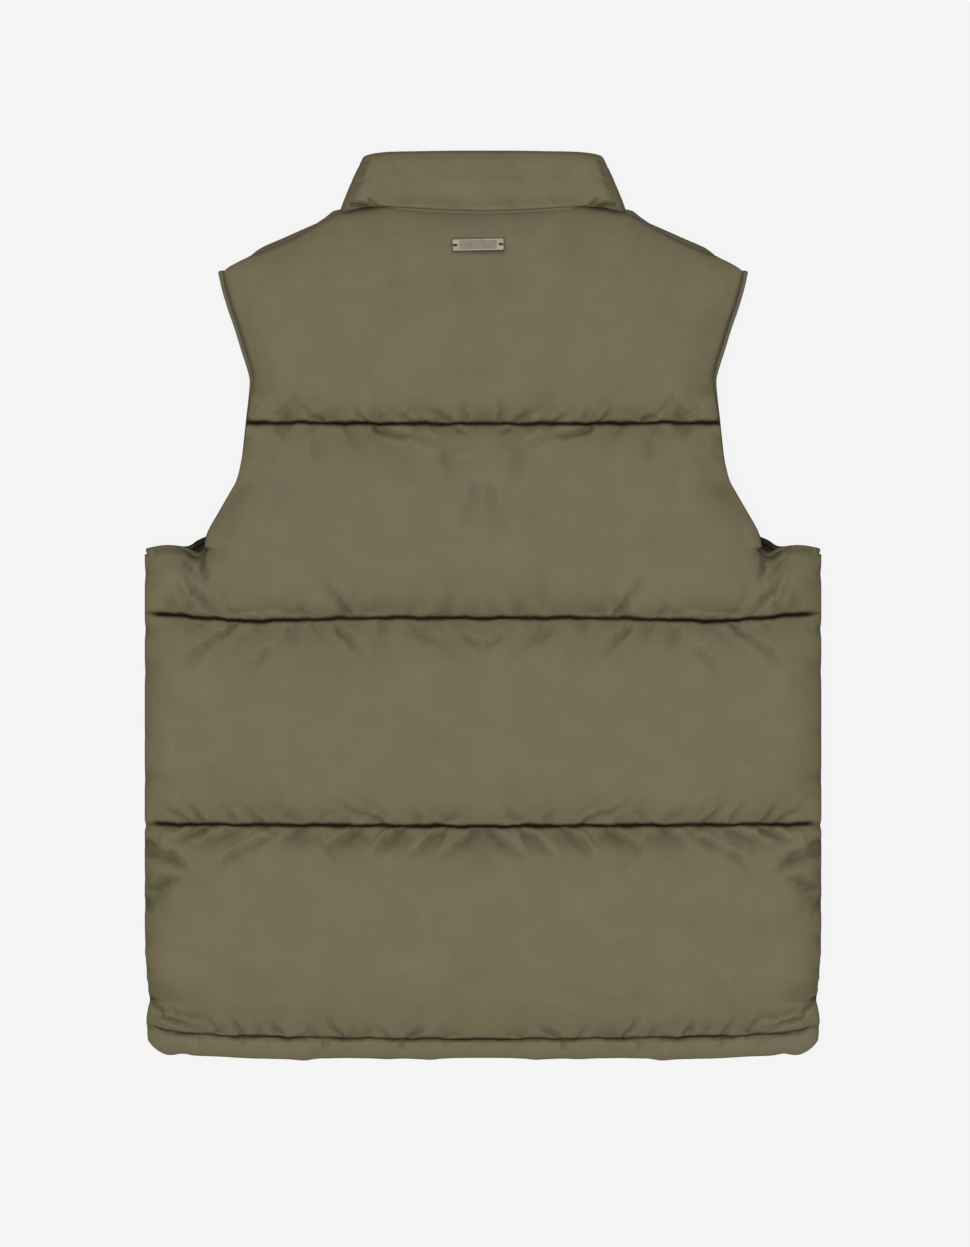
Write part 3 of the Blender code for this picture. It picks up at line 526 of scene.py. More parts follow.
def quads(block, turned=False):
    found = np.stack([block[:-1, :-1], block[:-1, 1:], block[1:, 1:], block[1:, :-1]], axis=-1).reshape(-1, 4)
    return found[:, ::-1] if turned else found


def joined_halves(halves):
    """Point numbers of one or two halves' blocks, and all their points. They share the middle column."""
    main, wing, points = numbered(*halves[0])
    index = [(main, wing)]
    if len(halves) == 2:
        far_main, far_wing, more = numbered(*halves[1], len(points), main[:, 0])
        index.append((far_main, far_wing))
        points = np.vstack([points, more])
    return index, points


def half_faces(index, step=1):
    """Faces of the numbered blocks; the second half, a mirrored one, is turned."""
    return np.vstack([quads(block[::step, ::step], k == 1) for k, half in enumerate(index) for block in half])


def half_outline(main, wing):
    """Point numbers round a half panel from the centre of the hem out and up to the centre of the top."""
    under = len(wing) - 1
    parts = [main[0], wing[0, 1:], wing[1:, -1], wing[-1, -2:0:-1], main[under:, -1], main[-1, -2::-1]]
    return np.concatenate(parts)


# How the outer cloth, cut a little longer than the stitching holds it, settles over its filling
CLOTH_SLACK = 0.018
FILL_PRESSURE = 4.0
SETTLE_FRAMES = 22
SETTLE_COLUMNS, SETTLE_SIDE_COLUMNS = 49, 9
EVENING_PASSES = 60         # that part the broad swell, which isn't kept, from the small folds
SIDE_SHARE = 0.5            # how much of the folds beside the side fold is kept
SETTLING = {
    "quality": 5, "mass": 0.15, "tension_stiffness": 20, "compression_stiffness": 20, "shear_stiffness": 5,
    "bending_stiffness": 0.2, "tension_damping": 20, "compression_damping": 20, "use_pressure": True,
    "uniform_pressure_force": FILL_PRESSURE, "shrink_min": -CLOTH_SLACK, "shrink_max": -CLOTH_SLACK,
}


def settle(points, faces, pinned):
    """Lets a sheet that is sewn down at its pinned points settle."""
    mesh = bpy.data.meshes.new("settling")
    mesh.from_pydata((points * MM).tolist(), [], faces.tolist())
    sheet = link(bpy.data.objects.new("settling", mesh))
    sheet.vertex_groups.new(name="sewn").add(pinned.tolist(), 1.0, "REPLACE")
    cloth = sheet.modifiers.new("cloth", "CLOTH")
    cloth.settings.vertex_group_mass = "sewn"
    for name, value in SETTLING.items():
        setattr(cloth.settings, name, value)
    cloth.settings.effector_weights.gravity = 0
    cloth.collision_settings.use_collision = False
    for number in range(SETTLE_FRAMES):
        scene.frame_set(number + 1)
    settled = sheet.evaluated_get(bpy.context.evaluated_depsgraph_get()).data
    found = np.empty(len(points) * 3)
    settled.vertices.foreach_get("co", found)
    bpy.data.objects.remove(sheet)
    scene.frame_set(1)
    return found.reshape(-1, 3) / MM


def read_between(values, places):
    """Rows of a regular table read at fractional places, on smooth curves."""
    last = len(values) - 1
    first = np.clip(np.floor(places).astype(int), 0, last - 1)
    t = (places - first).reshape((-1,) + (1,) * (values.ndim - 1))
    before, after = np.maximum(first - 1, 0), np.minimum(first + 2, last)
    return between(values[before], values[first], values[first + 1], values[after], t)


def puckers(panel, grid, settle_rows, height, way):
    """Small folds that the stitching draws into the cloth: what settling adds to the panel's plain swell.

    Returns them for the central and the side block, read at the grid's finer rows and columns.
    """
    rows, side_rows, inner, columns, side_columns = grid
    coarse_columns = np.linspace(0, 1, SETTLE_COLUMNS)
    coarse_side = np.linspace(0, 1, SETTLE_SIDE_COLUMNS)
    coarse_rows, coarse_under = panel.rows(settle_rows, 0.0)
    blocks = panel.places(coarse_rows, coarse_under, inner, coarse_columns, coarse_side)
    blocks = [np.dstack([block, height(block[..., 0], block[..., 1])]) for block in blocks]
    whole = inner == 0
    mirrored = [block * (-1, 1, 1) for block in blocks]
    index, points = joined_halves([blocks, mirrored] if whole else [blocks])
    main, wing = index[0]
    faces = half_faces(index)[:, ::way]
    sewn_rows = np.searchsorted(coarse_rows, (0, 1, 2, 3, 4, 5))
    pinned = [] if whole else [main[:, 0]]
    for half, flank in index:
        pinned += [half[sewn_rows].ravel(), half[coarse_under:, -1]]
        pinned += [flank[sewn_rows[:4]].ravel(), flank[-1], flank[:, -1]]
    moved = settle(points, faces, np.unique(np.concatenate(pinned))) - points
    full = moved[main]
    if whole:
        full = np.hstack([moved[index[1][0]][:, :0:-1] * (-1, 1, 1), full])
    plain = full.copy()
    for _ in range(EVENING_PASSES):
        ends = np.concatenate([plain[:, :1], plain, plain[:, -1:]], axis=1)
        plain = (ends[:, :-2] + 2 * ends[:, 1:-1] + ends[:, 2:]) / 4
    folds = (full - plain)[:, -SETTLE_COLUMNS:]
    if whole:
        folds[:, 0, 0] = 0
    wing_folds = moved[wing] * SIDE_SHARE
    wing_folds[:, 0] = folds[: coarse_under + 1, -1]
    row_places = np.interp(rows, coarse_rows, np.arange(len(coarse_rows)))
    found = []
    for table, fine, coarse, count in (
        (folds, columns, coarse_columns, len(rows)), (wing_folds, side_columns, coarse_side, side_rows + 1),
    ):
        by_rows = read_between(table, row_places[:count])
        by_columns = read_between(by_rows.swapaxes(0, 1), np.interp(fine, coarse, np.arange(len(coarse))))
        found.append(by_columns.swapaxes(0, 1))
    return found


PUCKER_SHARE = 0.8          # how much of the settled folds is kept
LIP = 1.2                   # how far a baffle's foot bulges over its seam
LIP_PLACE, LIP_REACH = 3.0, 2.6
LIP_UNEVEN = 0.8
SEAM_WOBBLE = 0.75
ARMHOLE_LIP = 6.2           # how far the padding bulges over the armhole's binding, most of all low down
ARMHOLE_RISE = 2.6
HOLLOW_ACROSS, HOLLOW_UP = 231.0, 422.0     # where the armhole opens between its two bindings
TOP_LIP, TOP_LIP_REACH = 1.3, 45.0          # and over the neck and shoulder seams
BACK_ROWS = (8, 64, 64, 20, 44, 64)
BACK_SETTLE_ROWS = (4, 38, 36, 11, 24, 38)
BACK_COLUMNS, SIDE_COLUMNS = 148, 28
BACK_INSIDE_STEP = 4        # the plain inside has every fourth row and column
SIDE_DENTS = (  # up, half height, depth
    (398, 5, 0.7), (352, 5, 0.9), (318, 6, 0.5), (268, 4, 0.5), (232, 5, 0.7), (192, 3, 1.0),
    (178, 2.4, 1.3), (151, 4, 0.6), (127, 3, 2.1), (98, 6, 0.6), (74, 3, 0.8), (62, 2.4, 1.1),
    (50.5, 2.2, 2.2), (26, 2, 0.9),
)

back_panel = Panel(smooth(BACK_TOP, 161), BACK_ARMHOLE, BACK_UNDERARM, BACK_CROWN, BACK_FOLDS)
back_rows, back_under = back_panel.rows(BACK_ROWS, 0.8)
share = np.arange(BACK_COLUMNS + 1) / BACK_COLUMNS
back_columns = 1.2 * share - 0.2 * share**2
side_columns = np.append(crowded(SIDE_COLUMNS, 0.4), 1.0)

# Seat of the metal plate, which presses the yoke flat: centre, size, turn
PLATE_ACROSS, PLATE_UP = -4.0, 665.9
PLATE_LENGTH, PLATE_WIDTH = 41.4, 9.4
PLATE_THICKNESS = 1.3
PLATE_TURN = math.radians(1.3)
PLATE_MARGIN, PLATE_SEAT = 1.0, 7.0         # flat cloth round the plate, and how far its seat reaches past that
# Painted shadow on the cloth round the plate: how dark, how far it reaches, and its shift towards the hem
PLATE_SHADE, PLATE_SHADE_REACH = 0.6, 1.1
PLATE_SHADE_SHIFT = (0.3, -0.5, 0)


def back_height(across, up):
    return inside_height(up) + LAYER_GAP / 2 + back_panel.wall(np.abs(across), up)


edge_heights = back_height(np.full(2, -PLATE_ACROSS), PLATE_UP + np.array((-0.5, 0.5)) * PLATE_WIDTH)
plate_slope = math.atan2(edge_heights[1] - edge_heights[0], PLATE_WIDTH)
level_share, rising_share = math.cos(plate_slope), math.sin(plate_slope)
straight, skewed = math.cos(PLATE_TURN), math.sin(PLATE_TURN)
plate_along = np.array((straight, skewed * level_share, skewed * rising_share))
plate_wide = np.array((-skewed, straight * level_share, straight * rising_share))
plate_out = np.cross(plate_along, plate_wide)
plate_centre = np.array((PLATE_ACROSS, PLATE_UP, edge_heights.mean()))


def seated(points):
    """Points of the back pressed flat under the plate."""
    away = points - plate_centre
    plane = plate_centre[2] - (plate_out[0] * away[..., 0] + plate_out[1] * away[..., 1]) / plate_out[2]
    past_end = np.maximum(0, np.abs(away[..., 0]) - PLATE_LENGTH / 2 - PLATE_MARGIN)
    past_side = np.maximum(0, np.abs(away[..., 1]) - PLATE_WIDTH / 2 - PLATE_MARGIN)
    pressed = np.clip(1 - np.hypot(past_end, past_side) / PLATE_SEAT, 0, 1)
    pressed = pressed**2 * (3 - 2 * pressed)
    points[..., 2] += (plane - points[..., 2]) * pressed
    return points


def wobble(across, phase):
    """Unevenness along a stitched line, from the puckers that pull on it."""
    long = 0.45 * np.sin(across / 7.3 + phase) + 0.28 * np.sin(across / 4.1 + 2.3 * phase)
    return long + 0.2 * np.sin(across / 2.3 - phase) + 0.1 * np.sin(across / 1.13 + 1.7 * phase)


def seam_run(across, up):
    """How far a stitched line wanders up or down from its straight run."""
    return SEAM_WOBBLE * wobble(across, 1.7 + up // 100)


def bulge(distance, size):
    """How far padding near a sewn edge bulges out over it: nothing at the edge itself."""
    return np.minimum(size * fade(distance - LIP_PLACE, LIP_REACH), 0.75 * distance)


def top_lip(across):
    """How far the padding bulges over the neck and shoulder seams: least at the middle of the neck."""
    return TOP_LIP * ramp(across - NECK_END + TOP_LIP_REACH, TOP_LIP_REACH, 0.1)


def side_dents(up, share=1.0):
    """How far the side fold is dented in at each height."""
    return sum(share * depth * fade(up - place, reach) for place, reach, depth in SIDE_DENTS)


def rolled_over(panel, block, points):
    """Rolls the padding beside the armhole over its binding, except where the armhole opens at its corner."""
    near = panel.near_armhole(block[..., 0], block[..., 1])
    across, up = block[near].T
    gaps = panel.edge[:, None, :] - block[near][None, :, :]
    away = np.sqrt((gaps**2).sum(axis=2))
    nearest = away.argmin(axis=0)
    at = np.arange(len(nearest))
    away, out = away[nearest, at], gaps[nearest, at]
    out /= np.maximum(away, 0.001)[:, None]
    reach = np.where(up < panel.corner, 0.12, 0.4 + 0.6 * ramp(COVERED_UP - up, 60))
    to_corner = np.hypot(across - HOLLOW_ACROSS, up - HOLLOW_UP)
    clear = np.where(across > HOLLOW_ACROSS - 2, (to_corner - 9) / 14, (up - HOLLOW_UP + 7) / 5)
    reach *= np.clip(clear, 0, 1) * ramp(HALF_CHEST - across, 8)
    grown = reach * ramp(away - 0.2, 1.3) * fade(away, 7.5)
    points[near, :2] += out * (ARMHOLE_LIP * grown)[:, None]
    points[near, 2] += ARMHOLE_RISE * grown * np.sign(points[near, 2] - inside_height(up))


def dressed(panel, block, height, folds):
    """Points of one block: the swell of the filling, the puckers, and the padding rolled over its seams."""
    across, up = block[..., 0], block[..., 1]
    points = np.dstack([across, up, height(across, up)])
    to_seam = panel.seam_distance(across, up)
    to_side = panel.side_distance(across, up)
    inward = ramp(to_side, 16)
    kept = 0.1 + 0.9 * fade(to_seam, 26)
    quiet_middle = 0.25 + 0.75 * ramp(across, 50)
    points += folds * (PUCKER_SHARE * kept * quiet_middle)[..., None]
    uneven = 1 + LIP_UNEVEN * wobble(across, 2.0 + 3.0 * np.sign(to_seam) + up // 100)
    points[..., 1] -= np.sign(to_seam) * bulge(np.abs(to_seam), LIP * uneven) * inward
    points[..., 1] += seam_run(across, up) * fade(to_seam, 12) * inward
    points[..., 1] += bulge(np.maximum(level(panel.lines[5], across) - up, 0), top_lip(across))
    rolled_over(panel, block, points)
    points[..., 0] -= side_dents(up) * fade(to_side, 9) * (to_side < 40)
    return points


def dressed_half(panel, grid, settle_rows, height, way):
    """Both dressed blocks of a half panel; way is 1 for an upper face and -1 for a lower."""
    blocks = panel.places(*grid)
    folds = puckers(panel, grid, settle_rows, height, way)
    return [dressed(panel, block, height, fold) for block, fold in zip(blocks, folds)]


def padded_piece(name, halves, inner_height, turned, step):
    """A closed padded wall from one or two dressed halves, with a plain inside of fewer rows and columns."""
    index, points = joined_halves(halves)
    outer, coarse = half_faces(index), half_faces(index, step)
    home = half_outline(*index[1]) if len(index) == 2 else index[0][0][:, 0]
    loop = np.concatenate([half_outline(*index[0]), home[-2:0:-1]])
    used = np.unique(coarse)
    inner = np.full(len(points), -1)
    inner[used] = len(points) + np.arange(len(used))
    inside = points[used].copy()
    inside[:, 2] = inner_height(inside[:, 0], inside[:, 1])
    ring = np.append(loop, loop[0])
    rim = []
    for k in range(0, len(loop), step):
        rim.append([int(n) for n in (inner[ring[k]], inner[ring[k + step]], *ring[k: k + step + 1][::-1])])
    faces = outer.tolist() + inner[coarse[:, ::-1]].tolist() + rim
    if turned:
        faces = [face[::-1] for face in faces]
    return cloth_object(name, np.vstack([points, inside]), faces)


def cloth_object(name, points, faces):
    mesh = bpy.data.meshes.new(name)
    mesh.from_pydata(((points - (0, LENGTH / 2, 0)) * MM).tolist(), [], faces)
    mesh.shade_smooth()
    return link(bpy.data.objects.new(name, mesh))


def mark(thing, name, values):
    """Stores a value from 0 to 1 for each point, which the cloth's material reads."""
    layer = thing.data.attributes.new(name, "FLOAT", "POINT")
    layer.data.foreach_set("value", np.clip(values, 0, 1).astype(np.float32))


def vertex_places(thing):
    """Across, up and height over the table of an object's points."""
    found = np.empty(len(thing.data.vertices) * 3)
    thing.data.vertices.foreach_get("co", found)
    return found.reshape(-1, 3) / MM + (0, LENGTH / 2, 0)


def darken(thing, values):
    """Deepens a piece's painted shade wherever the given values are darker."""
    shade = thing.data.attributes["painted_shade"].data
    marked = np.empty(len(shade))
    shade.foreach_get("value", marked)
    shade.foreach_set("value", np.maximum(marked, values).astype(np.float32))


# Painted shade, which darkens the cloth's colour where shade falls: in seams, creases, dents and under the
# collar
CREASE_SHADE = 0.4          # how dark the painted shade in the folds' creases looks beside a seam's valley
CREASE_FULL = 4.5           # depth of a fold whose crease gets the darkest painted shade
VALLEY_WIDTH = 2.05
NECK_SHADE = 0.10           # at the neck seam
COLLAR_SHADE = 0.85         # and under the collar's side folds
COLLAR_SHADE_PLACE = 101.0
COLLAR_SHADE_REACH = 4.4
EDGE_SHADE, EDGE_SHADE_WIDTH = 0.45, 1.5    # beside the armhole's binding
DENT_SHADE, DENT_SHADE_WIDTH = 0.42, 6.5    # in the side fold's dents


def seam_shade(panel, thing, way):
    """Marks painted shade in stitched valleys and creases and beside edges, and how much stitching crumples the
    cloth.

    way is 1 for an upper face and -1 for a lower.
    """
    across, up, z = vertex_places(thing).T
    across = np.abs(across)
    to_seam = panel.seam_distance(across, up)
    to_seam -= seam_run(across, up)
    to_side = panel.side_distance(across, up)
    to_edge = panel.edge_distance(across, up, (up > panel.corner - 6) & (across > 170), 50.0)
    to_top = level(panel.lines[-1], across) - up
    at_hem = np.abs(up - level(panel.lines[1], across)) < 8
    hem_strength = 0.75 + 0.25 * wobble(across * 0.3, 0.6)
    quilt_strength = 0.93 + 0.1 * wobble(across * 0.15, up // 100)
    strength = np.where(at_hem, hem_strength, quilt_strength) * ramp(to_side - 3, 9, 0.25)
    width = np.where(at_hem, 0.7, 1.0) * VALLEY_WIDTH * (1 + 0.32 * wobble(across * 0.7, 3.1))
    painted_shade = strength * fade(to_seam, width, 2.6)
    crease = CREASE_SHADE * ramp(fold_relief(panel.folds, across, up), CREASE_FULL)
    covered = ramp(COVERED_UP - up, 50) * (up > panel.corner + 8)
    beside_binding = EDGE_SHADE * fade(to_edge, EDGE_SHADE_WIDTH) * (1 - covered)
    pinched = side_dents(up, DENT_SHADE) * fade(to_side, DENT_SHADE_WIDTH)
    by_fold = (COLLAR_SHADE - NECK_SHADE) * fade(across - COLLAR_SHADE_PLACE, 16, 4)
    by_collar = (NECK_SHADE + by_fold) * fade(to_top, COLLAR_SHADE_REACH)
    shown = (z - inside_height(up)) * way > 1
    mark(thing, "painted_shade", np.maximum.reduce([painted_shade, crease, beside_binding, pinched, by_collar]) * shown)
    by_side = 0.8 * fade(to_side, 30) * (up < panel.corner)
    by_edge = 0.6 * fade(to_edge, 20)
    mark(thing, "crumpled", 0.2 + 0.8 * np.maximum.reduce([fade(to_seam, 24, 1.5), by_side, by_edge]))


def back_inside(across, up):
    return inside_height(up) + LAYER_GAP / 2


back_grid = (back_rows, back_under, 0.0, back_columns, side_columns)
right = dressed_half(back_panel, back_grid, BACK_SETTLE_ROWS, back_height, 1)
left = [block * (-1, 1, 1) for block in right]
right, left = [seated(block) for block in right], [seated(block) for block in left]
back = padded_piece("back_shell", (right, left), back_inside, False, BACK_INSIDE_STEP)
seam_shade(back_panel, back, 1)
# Painted shadow on the cloth round the plate, a little towards the hem
away = np.abs(vertex_places(back) - plate_centre - PLATE_SHADE_SHIFT)
beyond = np.hypot(np.maximum(away[:, 0] - PLATE_LENGTH / 2, 0), np.maximum(away[:, 1] - PLATE_WIDTH / 2, 0))
darken(back, PLATE_SHADE * fade(beyond, PLATE_SHADE_REACH) * (away[:, 2] < 5))
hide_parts("back")
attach(back, "vest")


CREASE_HEIGHT = 0.45        # of the crumpled cloth's creases, beside its soft dents
CRINKLE_SHADING = 0.3                # painted shade and light: how much darker the dents look than the cloth between them, and the ridges lighter
SHADE_COLOUR = (0.010, 0.004, 0.0, 1.0)     # colour of the painted shade in the deepest valleys


def group(name, inputs, outputs):
    """An empty shader node group with its sockets, what it is given, and its output node."""
    made = bpy.data.node_groups.new(name, "ShaderNodeTree")
    for label, kind, value in inputs:
        made.interface.new_socket(label, in_out="INPUT", socket_type=kind).default_value = value
    for label, kind in outputs:
        made.interface.new_socket(label, in_out="OUTPUT", socket_type=kind)
    return made, made.nodes.new("NodeGroupInput").outputs, made.nodes.new("NodeGroupOutput")


def maths(tree, operation, *values):
    return node(tree, "Math", dict(enumerate(values)), operation=operation).outputs[0]


def on_piece(tree):
    """The place on the piece, in metres."""
    return node(tree, "TexCoord").outputs["Object"]


def stretched(tree, place, shares):
    return node(tree, "VectorMath", {0: place, 1: shares}, operation="MULTIPLY").outputs[0]


def noise(tree, place, scale, detail, **more):
    inputs = {"Vector": place, "Scale": scale, "Detail": detail, **more}
    return node(tree, "TexNoise", inputs).outputs[0]


def widened(tree, value, low, high):
    """A value between low and high, spread to the whole range from 0 to 1."""
    return node(tree, "MapRange", {"Value": value, "From Min": low, "From Max": high}).outputs[0]


def tinted(tree, share, first, second):
    """A colour on the way from the first to the second, by a share that changes over the surface."""
    return node(tree, "Mix", {"Factor": share, "A": first, "B": second}, data_type="RGBA").outputs["Result"]


# Plain weave of fine threads, with the uneven thickness of single threads across and along the cloth
weave, given, result = group(
    "plain_weave",
    (("Thread", "NodeSocketFloat", 0.00045), ("Unevenness", "NodeSocketFloat", 1.0)),
    (("Height", "NodeSocketFloat"), ("Tone", "NodeSocketFloat")),
)
place = node(weave, "SeparateXYZ", {0: on_piece(weave)}).outputs
turn = maths(weave, "DIVIDE", math.pi, given["Thread"])
slants = [maths(weave, "ADD", place[k], place[2]) for k in (0, 1)]
waves = [maths(weave, "SINE", maths(weave, "MULTIPLY", slant, turn)) for slant in slants]
checker = maths(weave, "MULTIPLY", *waves)
streaks = [
    noise(weave, stretched(weave, on_piece(weave), shares), 1.0, 2.0)
    for shares in ((900.0, 28.0, 200.0), (34.0, 760.0, 200.0))
]
uneven = maths(weave, "SUBTRACT", maths(weave, "ADD", *streaks), 1.0)
tone = maths(weave, "MULTIPLY", uneven, given["Unevenness"])
feed(result, {"Tone": tone, "Height": maths(weave, "ADD", maths(weave, "MULTIPLY", checker, 0.5), tone)})

# Small soft dents that filling leaves in thin cloth, and sharper creases where its stitching crumples it
# Its Tone, the height about the middle, becomes painted shade in low places and painted light on high ones
crinkle, given, result = group(
    "soft_crinkle",
    (("Size", "NodeSocketFloat", 0.03), ("Crumpled", "NodeSocketFloat", 0.0)),
    (("Height", "NodeSocketFloat"), ("Tone", "NodeSocketFloat")),
)
finer = maths(crinkle, "DIVIDE", 1.0, given["Size"])
shrunk = node(crinkle, "VectorMath", {0: on_piece(crinkle), "Scale": finer}, operation="SCALE").outputs[0]
dents = noise(crinkle, shrunk, 1.0, 3.0, Distortion=0.6)
ridges = node(
    crinkle, "TexNoise",
    {
        "Vector": stretched(crinkle, shrunk, (1.5, 0.8, 1.1)),
        "Scale": 1.3, "Detail": 2.5, "Roughness": 0.45, "Distortion": 0.9,
    },
    noise_type="RIDGED_MULTIFRACTAL",
).outputs[0]
creased = maths(crinkle, "MULTIPLY", maths(crinkle, "MULTIPLY", ridges, given["Crumpled"]), CREASE_HEIGHT)
relief = maths(crinkle, "ADD", dents, creased)
feed(result, {"Height": relief, "Tone": maths(crinkle, "SUBTRACT", relief, 0.5)})


def cloth_material(name, colour, warm, thread, roughness, crinkle_size, crinkle_depth):
    """Dyed cloth: two close shades in soft patches, uneven threads, a fine weave and soft dents, with painted
    shade and light.
    """
    made, tree, shader = material(name)
    threads = node(tree, "Group", {"Thread": thread}, node_tree=weave).outputs
    crumpled = node(tree, "Attribute", attribute_name="crumpled").outputs["Fac"]
    soft = node(tree, "Group", {"Size": crinkle_size, "Crumpled": crumpled}, node_tree=crinkle).outputs
    patches = widened(tree, noise(tree, on_piece(tree), 16.0, 3.0), 0.35, 0.65)
    dyed = tinted(tree, patches, (*colour, 1.0), (*warm, 1.0))
    crinkle_shading_factor = maths(tree, "MULTIPLY_ADD", soft["Tone"], CRINKLE_SHADING, 1.0)
    tone_and_shade = maths(tree, "ADD", maths(tree, "MULTIPLY", threads["Tone"], 0.10), crinkle_shading_factor)
    toned_and_shaded = node(tree, "VectorMath", {0: dyed, "Scale": tone_and_shade}, operation="SCALE").outputs[0]
    # Painted shade, read from the marked values, darkens the colour towards SHADE_COLOUR
    painted_shade = node(tree, "Attribute", attribute_name="painted_shade").outputs["Fac"]
    fine = node(tree, "Bump", {"Height": threads["Height"], "Strength": 0.25, "Distance": 0.00008})
    broad = node(tree, "Bump", {
        "Height": soft["Height"], "Strength": 1.0, "Distance": crinkle_depth, "Normal": fine.outputs[0],
    })
    feed(shader, {
        "Base Color": tinted(tree, painted_shade, toned_and_shaded, SHADE_COLOUR), "Normal": broad.outputs[0],
        "Roughness": roughness, "Specular IOR Level": 0.15, "Sheen Weight": 0.03, "Sheen Roughness": 0.4,
    })
    return made


OLIVE = (0.1465, 0.1315, 0.0695)
OLIVE_WARM = (0.1555, 0.128, 0.0775)
shell_cloth = cloth_material("olive_taffeta", OLIVE, OLIVE_WARM, 0.00045, 0.58, 0.035, 0.0006)
back.data.materials.append(shell_cloth)


# ---- Fronts ----------------------------------------------------------------------------------------------
# Two quilted front panels of the same cloth, sewn to the back at the sides and shoulders. The vest rests on
# them, so the table presses their baffles flat; along the shoulders their padding rolls up past the back.
FRONT_CROWN = 27.0
ZIP_HALF_GAP = 6.0
ZIP_EDGE, ZIP_REACH = 5.0, 26.0
ROLL_HEIGHT = 3.0
# How dark the painted shade on the roll along the shoulder is
ROLL_SHADE = 0.4
ROLL_START, ROLL_END = 109.0, 214.0         # across
HOLLOW_RADIUS, HOLLOW_DEPTH = 8.0, 8.0
# Reach of the painted shade in the hollow at the armhole's corner
HOLLOW_SHADE = 12.0
FRONT_NECK = (
    (6.0, 619.5), (14, 619.8), (28, 622.5), (45, 629.5), (62, 641), (78, 657), (92, 673.5), (104, 688.0),
    (111, 695.6),
)
FRONT_SHOULDER = (
    (116.5, 697.8), (120, 697.3), (126.3, 694.0), (132, 688.3), (138.6, 685.0), (151.7, 679.2),
    (164.8, 673.3), (177.9, 667.7), (184.5, 664.2), (190, 659.6), (197.6, 655.6), (205, 651.2),
    (214, 646.6),
)
FRONT_ARMHOLE = (
    (216.3, 642.4), (212.8, 631.0), (206.7, 614.6), (200.4, 598.2), (194.9, 581.8), (189.8, 565.4),
    (188.0, 556.0), (189.0, 540.8), (190.8, 524.4), (192.8, 508.0), (195.6, 491.6), (201.0, 475.2),
    (206.6, 463.0), (214.0, 449.0), (220.4, 436.4), (225.5, 430.0),
)
FRONT_UNDERARM = (
    (234.0, 426.0), (241.0, 421.4), (249.0, 421.0), (258.3, 421.7), (268.0, 420.8), (274.0, 419.4),
    (278.0, 418.2),
)
# Folds in the fronts, in the same columns as the back's
FRONT_FOLDS = (
    # under the arm and in from the zip
    (222, 424, 206, 372, 4.0, 6.0, 3.0),
    (190, 470, 172, 440, 6.0, 8.0, 2.0),
    (12, 590, 46, 560, 4.0, 8.0, 1.8),
    (12, 505, 60, 470, 4.0, 9.0, 2.4),
    (12, 415, 52, 396, 4.0, 8.0, 2.0),
    (12, 330, 48, 342, 4.0, 8.0, 2.0),
    (12, 240, 60, 222, 4.0, 9.0, 2.2),
    (12, 150, 44, 164, 4.0, 8.0, 1.8),
    (12, 70, 50, 52, 4.0, 8.0, 2.2),
    (90, 640, 70, 600, 5.0, 8.0, 1.8),
    # at the quilt lines
    (60, 524, 68, 540, 3.0, 6.0, 2.0),
    (120, 524, 112, 542, 3.0, 6.0, 2.2),
    (165, 524, 170, 538, 3.0, 6.0, 1.8),
    (95, 519, 84, 498, 3.0, 7.0, 2.0),
    (150, 519, 158, 500, 3.0, 7.0, 2.0),
    (40, 364, 48, 380, 3.0, 6.0, 1.8),
    (110, 364, 100, 384, 3.0, 6.0, 2.2),
    (190, 362, 196, 378, 3.0, 6.0, 1.8),
    (70, 358, 84, 336, 3.0, 7.0, 2.2),
    (140, 356, 128, 338, 3.0, 7.0, 1.8),
    (230, 358, 214, 336, 3.0, 7.0, 2.2),
    (50, 196, 40, 214, 3.0, 6.0, 2.0),
    (120, 196, 132, 214, 3.0, 6.0, 2.0),
    (200, 197, 214, 214, 3.0, 6.0, 2.2),
    (84, 189, 70, 166, 3.0, 7.0, 2.2),
    (160, 190, 178, 162, 3.0, 7.0, 2.4),
    (236, 191, 250, 168, 3.0, 6.0, 2.0),
    # at the hem line and in from the side fold
    (60, 20, 66, 36, 2.5, 5.0, 1.8),
    (150, 22, 142, 38, 2.5, 5.0, 1.8),
    (225, 24, 236, 40, 2.5, 5.0, 1.8),
    (276, 290, 250, 300, 4.0, 7.0, 2.0),
    (276, 150, 246, 140, 4.0, 7.0, 2.2),
    (276, 60, 250, 52, 3.0, 6.0, 2.0),
)
FRONT_ROWS = (6, 52, 50, 16, 34, 56)
FRONT_SETTLE_ROWS = (4, 30, 28, 9, 20, 30)
FRONT_COLUMNS, FRONT_SIDE_COLUMNS = 80, 14
FRONT_INSIDE_STEP = 2

front_top = np.vstack([smooth(FRONT_NECK, 60), smooth(FRONT_SHOULDER, 90)])
front_panel = Panel(front_top, FRONT_ARMHOLE, FRONT_UNDERARM, FRONT_CROWN, FRONT_FOLDS)
front_rows, front_under = front_panel.rows(FRONT_ROWS, 0.75)
front_columns = np.append(crowded(FRONT_COLUMNS, 0.35), 1.0)
front_side_columns = np.append(crowded(FRONT_SIDE_COLUMNS, 0.6), 1.0)


def front_height(across, up):
    """The face on the table: pressed flat at the baffles, and off the table at seams and edges."""
    full = front_panel.wall(across, up)
    beside_zip = ZIP_EDGE + (full - ZIP_EDGE) * rounding(np.maximum(across - ZIP_HALF_GAP, 0), ZIP_REACH)
    wall = np.maximum(np.where(full < ZIP_EDGE, full, beside_zip), EDGE)
    return np.maximum(0, inside_height(up) - LAYER_GAP / 2 - wall)


